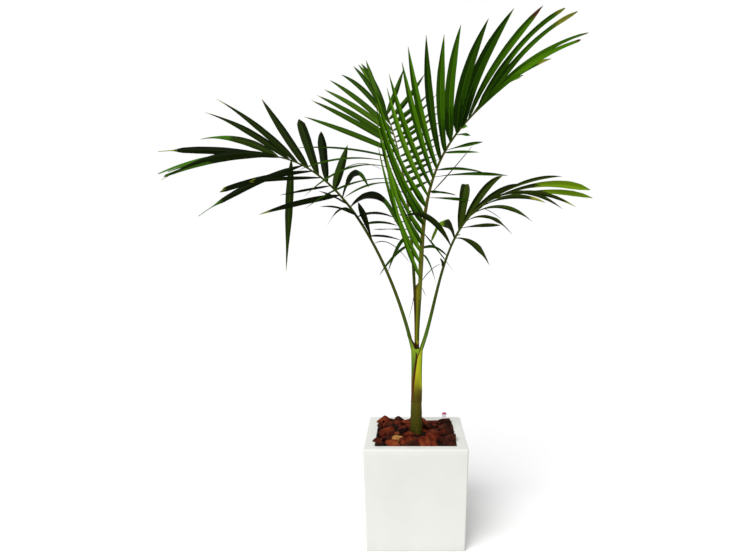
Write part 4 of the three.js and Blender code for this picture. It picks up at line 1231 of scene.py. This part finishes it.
# %% Sheath finishes
SHEATH_COLOURS = {
    "right": [
        (0, "4e420e"), (0.08, "544a10"), (0.16, "666013"), (0.26, "8f8c19"), (0.42, "b0b01c"),
        (0.7, "b8c022"), (0.82, "8cac24"), (0.92, "5c8620"), (1, "4a741c"),
    ],
    "left": [
        (0, "52300f"), (0.15, "5c5c16"), (0.4, "4a6618"), (0.6, "64801e"), (0.75, "7c9426"), (0.83, "68841f"),
        (0.92, "486c1c"), (1, "38581a"),
    ],
}
MARGIN_COLOURS = [(0, "5c2812"), (0.5, "40200e"), (1, "5a3a16")]
dry_margin = green_finish("dry_margin", MARGIN_COLOURS, streak=0.3, roughness=0.6)
for name, sizes in SHEATHS.items():
    rings, tones = sheath_rings(name, **sizes)
    finish = green_finish("sheath_" + name + "_skin", SHEATH_COLOURS[name], streak=0.14)
    finishes = [finish, dry_margin]
    points, faces = skin(rings)
    marks = sheath_face_finishes(faces, MARGIN_STEPS)
    add_piece("leaf_base_" + name, points, faces, finishes, "sheath", ["sheath_" + name], marks, tones)

# %% [markdown]
# ## Centre stalk
# Between the leaf bases rise the stalks of the two tall fronds, pressed together and joined
# by a web up to where they part. Two tubes would cross each other all the way up. So one
# skin has both circles in its outline, with a groove down the middle that deepens towards
# the top. The left edge is brown and scurfy, the middle yellow and the right edge olive.
# The tone stored at each point says how far it lies from left to right.

# %% Two stalks in one skin
STALK_RINGS = 72
STALK_FOOT = 0.612
STALK_TOP = 0.852
STALK_PARTS = 0.815
LOBES_JOIN = 0.8
CLOSES_BY = 0.95
SHRINKS_BY = 0.5
GROOVE_FOOT = 0.25
GROOVE_GAIN = 0.6
LOBE_FOOT = {"back": np.array([0.0015, 0.0035]), "front": np.array([0.0060, -0.0035])}
LOBE_SHARE = {"back": 1, "front": 0.86}
LOBE_STEPS = 14
WEB_STEPS = 5
RIGHTWARDS = np.array([0.8, -0.6])
FOOT_TONE = 0.16
FOOT_TONE_TO = 0.626
FOOT_TONE_FADE = 0.03
WEB_TONE = 0.5


def half_circle(centre, radius, way, across, middle):
    """Points round half of a stalk. way lies at a turn of 0, and the half is round middle."""
    turns = np.linspace(middle - math.pi / 2, middle + math.pi / 2, LOBE_STEPS)
    return [centre + radius * (way * math.cos(turn) + across * math.sin(turn)) for turn in turns]


def web_side(start, end, groove):
    """Points on one side of the web. start and end are (stalk's centre, offset to that side)."""
    points = []
    for share in np.linspace(0, 1, WEB_STEPS + 2)[1:-1]:
        pinch = 1 - groove * math.sin(math.pi * share) ** 0.8
        points.append(mix(start[0] + start[1] * pinch, end[0] + end[1] * pinch, share))
    return points


stalk_rings, stalk_tones = [], []
for z in np.linspace(STALK_FOOT, STALK_TOP, STALK_RINGS):
    lift = (z - STALK_FOOT) / (LOBES_JOIN - STALK_FOOT)
    lobes = {}
    for name in ("back", "front"):
        share = MIDRIBS[name].share_at_height(z)
        goal = MIDRIBS[name].frame_at(share)[0][:2]
        radius = LOBE_SHARE[name] * mix(FRONDS[name]["petiole"], FRONDS[name]["tip_radius"], share)
        lobes[name] = (mix(LOBE_FOOT[name], goal, smooth(lift)), radius)
    (back, back_radius), (front, front_radius) = lobes["back"], lobes["front"]
    closing = smooth((z - STALK_PARTS) / (STALK_TOP - STALK_PARTS))
    back = mix(back, front, CLOSES_BY * closing)
    back_radius *= 1 - SHRINKS_BY * closing
    way = unit(front - back)
    across = np.array([-way[1], way[0]])
    groove = GROOVE_FOOT + GROOVE_GAIN * smooth(lift)
    ring = half_circle(front, front_radius, way, across, 0)
    ring += web_side((front, across * front_radius), (back, across * back_radius), groove)
    ring += half_circle(back, back_radius, way, across, math.pi)
    ring += web_side((back, -across * back_radius), (front, -across * front_radius), groove)
    stalk_rings.append([(*p, z) for p in ring])
    middle = (back + front) / 2
    span = np.linalg.norm(front - back) / 2 + front_radius
    tones = [0.5 + 0.5 * float((p - middle) @ RIGHTWARDS) / span for p in ring]
    shown = smooth((z - FOOT_TONE_TO) / FOOT_TONE_FADE)
    stalk_tones += [mix(mix(FOOT_TONE, tone, shown), WEB_TONE, closing) for tone in tones]
print("centre stalk:", len(stalk_rings), "rings of", len(stalk_rings[0]))

# %% Centre stalk's finish
STALK_COLOURS = [
    (0.1, "22140a"), (0.29, "3c2a0c"), (0.42, "6c6812"), (0.58, "8a8816"), (0.76, "5c6412"), (1, "3c480e"),
]
stalk_finish = green_finish("centre_stalk_skin", STALK_COLOURS, streak=0.12, scale=110, reach=0.08)
add_piece("stalk_centre", *skin(stalk_rings), [stalk_finish], "petiole", ["centre_stalk"], tone=stalk_tones)

# %% [markdown]
# ## Leaflets
# A kentia leaflet is a long blade, narrow where it leaves the rib, folded like a roof along
# its own midrib, with fine veins that run its length. A flat strip bent with a curve
# modifier would have no fold and no thickness. Here each blade is a grid of points laid
# over the leaflet's axis: the fold, the veins and a gentle wave of the margins are heights
# above that grid, and a second grid under it closes the blade.

# %% Where each leaflet grows
ANGLE_SPREAD = 1.5
LIFT_SPREAD = 3
LENGTH_SPREAD = 0.03
STATION_SPREAD = 0.005
ARCH_SPREAD = 0.3
OTHER_HAND = 50
STRAIGHT = [(0, 0), (1, 0)]
USUAL_KINDS = [(0, "lance")]


def leaflets_of(name):
    """Every leaflet of a frond, by the CAD's rule. Its axis is a Bezier curve of three points."""
    frond, midrib = FRONDS[name], MIDRIBS[name]
    found = []
    for row in frond["rows"]:
        for i in range(row["count"]):
            u = i / (row["count"] - 1)
            n = frond["seed"] + (OTHER_HAND if row["hand"] > 0 else 0) + i
            odd = row["odd"].get(i, {})
            usual_kind = [kind for start, kind in row.get("kinds", USUAL_KINDS) if start <= i][-1]
            station = odd.get("station", min(1, mix(row["first"], 1, u) + STATION_SPREAD * jitter(n)))
            angle = math.radians(odd.get("angle", ramp(row["angle"], u) + ANGLE_SPREAD * jitter(n + 0.3)))
            lift = math.radians(odd.get("lift", ramp(row["lift"], u) + LIFT_SPREAD * jitter(n + 0.6)))
            length = odd.get("length", ramp(row["length"], u) * (1 + LENGTH_SPREAD * jitter(n + 0.9)))
            arch = length * odd.get("arch", ramp(row["arch"], u) * (1 + ARCH_SPREAD * jitter(n + 0.2)))
            point, along, side, upper = midrib.frame_at(station)
            sideways = row["hand"] * side * math.cos(lift) + upper * math.sin(lift)
            sweep = length * ramp(row.get("sweep", STRAIGHT), u)
            reach = length * (along * math.cos(angle) + sideways * math.sin(angle))
            outward = sideways * math.cos(angle) - along * math.sin(angle)
            found.append(dict(
                n=n, u=u, row=row, odd=odd, length=length, upper=upper,
                kind=odd.get("kind", usual_kind),
                axis=(point, point + reach / 2 + UP * arch + outward * sweep, point + reach),
                width=odd.get("width", ramp(row["width"], u)),
                turn=math.radians(odd.get("turn", ramp(row["turn"], u))),
            ))
    return found


print("leaflets laid out:", {name: len(leaflets_of(name)) for name in FRONDS})

# %% [markdown]
# Leaflets of one palm differ in outline. Most are lances, some are slender, blunt or widest
# late, and a few are torn at the end. One outline for all would look stamped. Each outline
# here is a list of (share of the length, share of the width), and an end that isn't a point
# is a list of (place across, how far the blade reaches there).

# %% Outlines of leaflets
OUTLINES = {
    "lance": [
        (0, 0.2), (0.03, 0.34), (0.08, 0.6), (0.16, 0.84), (0.28, 0.98), (0.4, 1), (0.58, 0.93),
        (0.74, 0.74), (0.86, 0.48), (0.94, 0.25), (1, 0.03),
    ],
    "full": [
        (0, 0.2), (0.05, 0.42), (0.1, 0.75), (0.16, 0.93), (0.3, 1), (0.55, 0.93), (0.74, 0.74),
        (0.86, 0.48), (0.94, 0.25), (1, 0.03),
    ],
    "thin": [
        (0, 0.2), (0.06, 0.5), (0.16, 0.84), (0.3, 1), (0.5, 0.92), (0.65, 0.62), (0.78, 0.34),
        (0.9, 0.17), (1, 0.04),
    ],
    "thread": [
        (0, 0.2), (0.06, 0.45), (0.18, 0.8), (0.4, 1), (0.65, 0.95), (0.78, 0.75), (0.84, 0.3),
        (0.88, 0.13), (1, 0.08),
    ],
    "late": [
        (0, 0.14), (0.1, 0.2), (0.22, 0.34), (0.4, 0.7), (0.55, 0.96), (0.68, 1), (0.8, 0.85),
        (0.9, 0.5), (1, 0.03),
    ],
    "round": [
        (0, 0.2), (0.06, 0.42), (0.2, 0.7), (0.45, 0.93), (0.68, 1), (0.8, 0.95), (0.9, 0.72),
        (0.96, 0.4), (1, 0.04),
    ],
    "hook": [
        (0, 0.2), (0.08, 0.5), (0.22, 0.9), (0.4, 1), (0.55, 0.9), (0.66, 0.7), (0.85, 0.6),
        (0.94, 0.36), (1, 0.04),
    ],
    "blunt": [
        (0, 0.2), (0.06, 0.42), (0.2, 0.72), (0.45, 0.92), (0.65, 1), (0.84, 0.97), (0.94, 0.82),
        (1, 0.55),
    ],
    "spoon": [
        (0, 0.14), (0.2, 0.25), (0.4, 0.45), (0.55, 0.7), (0.68, 0.9), (0.8, 1), (0.9, 0.8), (1, 0.1),
    ],
    "broad": [
        (0, 0.4), (0.05, 0.85), (0.11, 1.3), (0.2, 1.1), (0.32, 0.9), (0.5, 0.8), (0.75, 0.6),
        (0.9, 0.34), (1, 0.03),
    ],
    "slim": [
        (0, 0.35), (0.08, 0.6), (0.2, 0.72), (0.4, 0.9), (0.55, 1), (0.74, 0.8), (0.86, 0.5),
        (0.94, 0.25), (1, 0.03),
    ],
    "even": [
        (0, 0.4), (0.05, 0.8), (0.12, 1.25), (0.25, 1.05), (0.6, 0.95), (0.8, 0.75), (0.92, 0.4),
        (1, 0.03),
    ],
    "strap": [
        (0, 0.5), (0.1, 1.3), (0.3, 1.5), (0.45, 1.2), (0.65, 1), (0.88, 0.95), (0.95, 0.75), (1, 0.25),
    ],
    "torn": [(0, 0.2), (0.06, 0.42), (0.2, 0.75), (0.4, 0.96), (0.6, 1), (0.85, 0.92), (1, 0.75)],
}
OUTLINES["fork"] = OUTLINES["tongues"] = OUTLINES["torn"]
OUTLINES["slant"] = OUTLINES["blunt"]
WHOLE_END = [(-1, 1), (1, 1)]
ENDS = {
    "blunt": [(-1, 0.94), (-0.5, 0.965), (0, 0.99), (0.4, 1), (0.7, 0.985), (1, 0.93)],
    "slant": [(-1, 0.87), (-0.7, 0.91), (-0.3, 0.95), (0.2, 0.975), (0.6, 0.98), (0.8, 1), (1, 0.985)],
    "torn": [
        (-1, 0.9), (-0.86, 0.94), (-0.53, 0.95), (-0.36, 0.87), (-0.19, 0.97), (0.19, 1), (0.36, 0.98),
        (0.53, 0.88), (0.7, 0.93), (1, 0.9),
    ],
    "fork": [
        (-1, 0.94), (-0.7, 1), (-0.36, 0.98), (-0.06, 0.78), (0.06, 0.72), (0.36, 0.91), (0.7, 0.93),
        (1, 0.9),
    ],
    "tongues": [
        (-1, 0.98), (-0.86, 1), (-0.53, 0.98), (-0.36, 0.72), (-0.19, 0.9), (-0.06, 0.91), (0.06, 0.9),
        (0.19, 0.74), (0.36, 0.93), (0.7, 0.96), (1, 0.94),
    ],
}
print(len(OUTLINES), "outlines")

# %% The shape of one blade
ALONG = 40
COLUMNS = np.array([-1, -0.86, -0.7, -0.53, -0.36, -0.19, -0.06, 0.06, 0.19, 0.36, 0.53, 0.7, 0.86, 1])
ACROSS = len(COLUMNS) - 1
BLADE_THICKNESS = 0.0006
MARGIN_THINNER = 0.75
TIP_THINNER = 0.5
FOLD = [(0, 0.9), (0.15, 0.7), (0.6, 0.55), (1, 0.6)]
FOLD_SPREAD = 0.3
FOLD_ROUND = 0.1
VEINS = 6
VEIN_HEIGHT = 0.00018
WAVES = 2.2
WAVE_HEIGHT = 0.0016
TWIST_SPREAD = 14
BEND_AT = 0.55


def between(values, share):
    """Vectors listed evenly along the leaflet, asked for at any share of it."""
    even = np.linspace(0, 1, len(values))
    return np.stack([np.interp(share, even, values[:, k]) for k in range(3)], -1)


def axis_of(leaflet):
    """Points and directions along the leaflet, and some have their end bent down."""
    a, b, c = leaflet["axis"]
    v = np.linspace(0, 1, ALONG + 1)[:, None]
    along = unit(2 * (1 - v) * (b - a) + 2 * v * (c - b) + 1e-12)
    speed = np.linalg.norm(2 * (1 - v) * (b - a) + 2 * v * (c - b), axis=1)
    droop = math.radians(leaflet["odd"].get("droop", 0))
    start = leaflet["odd"].get("bend_at", BEND_AT)
    bent = np.clip((v - start) / (1 - start), 0, 1) ** 1.6 * math.tan(droop)
    level = 1 - np.abs(along @ UP)[:, None]
    along = unit(along - UP * bent * level)
    step = (along[1:] * speed[1:, None] + along[:-1] * speed[:-1, None]) / 2 / ALONG
    return a + np.concatenate([[np.zeros(3)], np.cumsum(step, axis=0)]), along


def blade_points(leaflet):
    """Upper and lower grids of one blade, ALONG + 1 by ACROSS + 1 points each."""
    points, along = axis_of(leaflet)
    n, kind = leaflet["n"], leaflet["kind"]
    s = COLUMNS
    v = np.linspace(0, 1, ALONG + 1)[:, None] * ramp(ENDS.get(kind, WHOLE_END), s)
    across = unit(np.cross(leaflet["upper"], along))
    twist = math.radians(leaflet["odd"].get("twist", TWIST_SPREAD * jitter(n + 0.8)))
    twist = twist * np.linspace(0, 1, ALONG + 1)[:, None] ** 1.5
    turn = leaflet["turn"] + twist
    across = across * np.cos(turn) + np.cross(along, across) * np.sin(turn)
    normal = between(np.cross(along, across), v)
    share = ramp(OUTLINES[kind], v)
    half = leaflet["width"] / 2 * share
    fold = ramp(FOLD, v) * (1 + FOLD_SPREAD * jitter(n + 0.7))
    height = -fold * half * (np.sqrt(s**2 + FOLD_ROUND**2) - FOLD_ROUND)
    height += VEIN_HEIGHT * np.cos(s * math.pi * VEINS) * share
    wave = np.sin(2 * math.pi * (v * (WAVES + jitter(n + 0.1)) + 0.25 * np.sign(s)) + n)
    height += WAVE_HEIGHT * wave * np.abs(s) ** 2 * share
    grid = between(points, v) + between(across, v) * (half * s)[..., None] + normal * height[..., None]
    thick = BLADE_THICKNESS * (1 - MARGIN_THINNER * np.abs(s) ** 4) * (1 - TIP_THINNER * v)
    offset = normal * (thick / 2)[..., None]
    return grid + offset, grid - offset


def blade_faces():
    """Faces of one blade and, for each, how far along and across it lies."""
    width = ACROSS + 1
    total = (ALONG + 1) * width
    faces, places = [], []
    for i in range(ALONG):
        for j in range(ACROSS):
            a = i * width + j
            faces += [(a, a + 1, a + 1 + width, a + width)]
            faces += [tuple(total + k for k in (a + width, a + 1 + width, a + 1, a))]
            places += [((i + 0.5) / ALONG, (COLUMNS[j] + COLUMNS[j + 1]) / 2)] * 2
        for a, place in ((i * width, -1), (i * width + ACROSS, 1)):
            faces.append((a, a + width, total + a + width, total + a))
            places.append(((i + 0.5) / ALONG, place))
    for j in range(ACROSS):
        for a, place in ((j, 0), (ALONG * width + j, 1)):
            faces.append((a, a + 1, total + a + 1, total + a))
            places.append((place, 0))
    return faces, np.array(places)


BLADE_FACES, BLADE_PLACES = blade_faces()
print("faces in a blade:", len(BLADE_FACES))

# %% [markdown]
# Young leaflets are a fresher green than old ones, the midrib is paler, and tips dry out
# yellow and brown. Painted light is dealt out too: one half of each folded blade is painted
# lighter than the other, a painted highlight, and some blades are painted darker near the
# rib, as painted shade. One ramp along the blade could colour them, but it would colour them
# all alike. Here each colour that has a place is a plain base colour, dealt out by leaflet
# and by face, so that it stays put. A fine grain in the relief breaks up the gloss.


# %% Leaf finishes
def leaf_finish(name, text, roughness=0.5, shine=0.02):
    material, shader = plain_finish(name, srgb(text), roughness, shine)
    tree = material.node_tree
    add_relief(tree, shader, mottle(tree, 900, detail=3), 0.00025, 0.35)
    return material


# The greens are partly the leaflets' own. The front frond's are brightened as painted light shining through
# its leaflets, and the left frond's are darkened as painted shade on their shaded undersides.
LEAF_SHADES = {
    "left": ["0f1706", "151f06", "1e2a09", "28390b", "344c0e"],
    "right": ["1c2608", "26320a", "33430d", "3f5412", "4a6014"],
    "front": ["1f3c04", "305506", "447408", "588c0e", "6c9e1c"],
    "back": ["203806", "2d4a0a", "3c5c10", "4b6e18", "5c7e26"],
}
EDGE_SHADES = {
    "tip_yellow": "8a8f2c", "tip_brown": "59371a", "tip_green": "3e6816", "margin": "44601a",
    "fresh": "6c8c14",
}
edge_finishes = [leaf_finish("leaflet_" + name, text, 0.55) for name, text in EDGE_SHADES.items()]
SHADES = len(next(iter(LEAF_SHADES.values())))
YELLOW_FINISH, BROWN_FINISH, GREEN_FINISH, MARGIN_FINISH, FRESH_FINISH = range(SHADES, SHADES + 5)
TIP_FINISHES = {"yellow": YELLOW_FINISH, "brown": BROWN_FINISH, "green": GREEN_FINISH, "fresh": FRESH_FINISH}
print(len(LEAF_SHADES), "sets of", SHADES, "greens, and", len(edge_finishes), "edge finishes")

# %% Which face has which finish
MIDRIB_HALF = 0.05
MIDRIB_END = 0.9
MARGIN_FROM = 0.99
FOOT_RAGGED = 0.04
TIP_RAGGED = 0.02
RAGGED_WAVES = 9
TIP_LENGTH = 0.05
YELLOW_TIPS = 0.3
USUAL_TONE = [(0, 1.3), (1, 1.3)]


def face_finishes(leaflet, name):
    """The finish of each face of a leaflet: its halves, one painted lighter as a painted highlight, its foot
    painted darker as painted shade, midrib, margins and tip.
    """
    n, odd = leaflet["n"], leaflet["odd"]
    v, s = BLADE_PLACES.T
    usual = ramp(leaflet["row"].get("tone", USUAL_TONE), leaflet["u"]) + jitter(n + 0.25)
    shade = odd.get("shade", int(np.clip(usual, 0, SHADES - 1.01)))
    # One half of each blade is painted lighter than the other: a painted highlight.
    painted_lit_half = ramp(leaflet["row"].get("painted_lit_half", EVEN), leaflet["u"])
    chosen = np.where(s > 0, min(shade + int(painted_lit_half), SHADES - 1), shade)
    # Near the rib the blade is painted darker: painted shade.
    foot = leaflet["row"].get("painted_shade_foot", 0) * leaflet["u"] + FOOT_RAGGED * np.sin(RAGGED_WAVES * s)
    chosen = np.maximum(chosen - (v < foot), 0)
    chosen[(np.abs(s) < MIDRIB_HALF) & (v < MIDRIB_END)] = min(shade + 2, SHADES - 1)
    if name in ("left", "right"):
        chosen[np.abs(s) > MARGIN_FROM] = MARGIN_FINISH
    usual_tip = "yellow" if jitter(n + 0.44) < YELLOW_TIPS else "brown"
    usual_length = TIP_LENGTH * (0.6 + 0.5 * jitter(n + 0.33))
    tip, length = odd.get("tip", (usual_tip, usual_length))
    chosen[v > 1 - length + TIP_RAGGED * np.sin(RAGGED_WAVES * s + n)] = TIP_FINISHES[tip]
    return chosen


# %% Grow the leaflets
NODES = {
    "left": ["frond_left_inner", "frond_left_outer"], "right": ["frond_right"],
    "front": ["frond_front_inner", "frond_front_outer"], "back": ["frond_back_inner", "frond_back_outer"],
}
for name, nodes in NODES.items():
    finishes = [leaf_finish(f"leaflet_{name}_{k}", text) for k, text in enumerate(LEAF_SHADES[name])]
    leaflets = leaflets_of(name)
    blades = [(np.concatenate(blade_points(leaflet)).reshape(-1, 3), BLADE_FACES) for leaflet in leaflets]
    marks = np.concatenate([face_finishes(leaflet, name) for leaflet in leaflets])
    add_piece("leaflets_" + name, *joined(blades), finishes + edge_finishes, "frond", nodes, marks)

# %% [markdown]
# ## Loose fibres
# Where leaflets tore apart as the frond opened, thin fibres of their margins hang on, and
# one dried scale clings to the right stalk. A bevelled curve would draw them too, but it is
# no mesh. Here a slender tube, given by its widest radius, follows a bend given by three
# points and ends in a hair.

# %% Fibres
FIBRE_RINGS = 24
FIBRE_SIDES = 6
HAIR = 0.0001
FIBRES = [
    (0.001625, (0.020, -0.03, 0.850), (0.051, -0.03, 0.895), (0.082, -0.03, 0.906)),
    (0.001375, (-0.005, -0.02, 0.807), (-0.010, -0.02, 0.765), (-0.024, -0.02, 0.722)),
    (0.00125, (0.022, -0.02, 0.826), (0.027, -0.02, 0.812), (0.036, -0.02, 0.796)),
    (0.00125, (0.217, -0.10, 1.081), (0.245, -0.10, 1.070), (0.267, -0.10, 1.049)),
    (0.00175, (-0.133, -0.03, 0.974), (-0.085, -0.03, 1.000), (-0.019, -0.03, 0.909)),
    (0.0025, (0.065, 0.10, 1.158), (0.130, 0.10, 1.226), (0.200, 0.10, 1.313)),
    (0.001375, (-0.262, 0.10, 1.222), (-0.190, 0.10, 1.275), (-0.116, 0.10, 1.228)),
    (0.005625, (0.090, -0.02, 0.896), (0.092, -0.025, 0.912), (0.080, -0.03, 0.924)),
]
fibres = []
for widest, start, bend, end in FIBRES:
    start, bend, end = map(np.array, (start, bend, end))
    rings = []
    for t in np.linspace(0, 1, FIBRE_RINGS):
        along = unit((1 - t) * (bend - start) + t * (end - bend))
        across = unit(np.cross(along, UP))
        point = (1 - t) ** 2 * start + 2 * t * (1 - t) * bend + t * t * end
        radius = widest * (1 - t) ** 0.4 * min(1, 0.5 + 3 * t) + HAIR
        upper = np.cross(along, across)
        turns = np.linspace(0, 2 * math.pi, FIBRE_SIDES, endpoint=False)
        rings.append([point + radius * (across * math.cos(a) + upper * math.sin(a)) for a in turns])
    fibres.append(skin(rings))
fibre_finish = leaf_finish("dry_fibre", "2a2c14", 0.7)
add_piece("leaf_fibres", *joined(fibres), [fibre_finish], "frond")
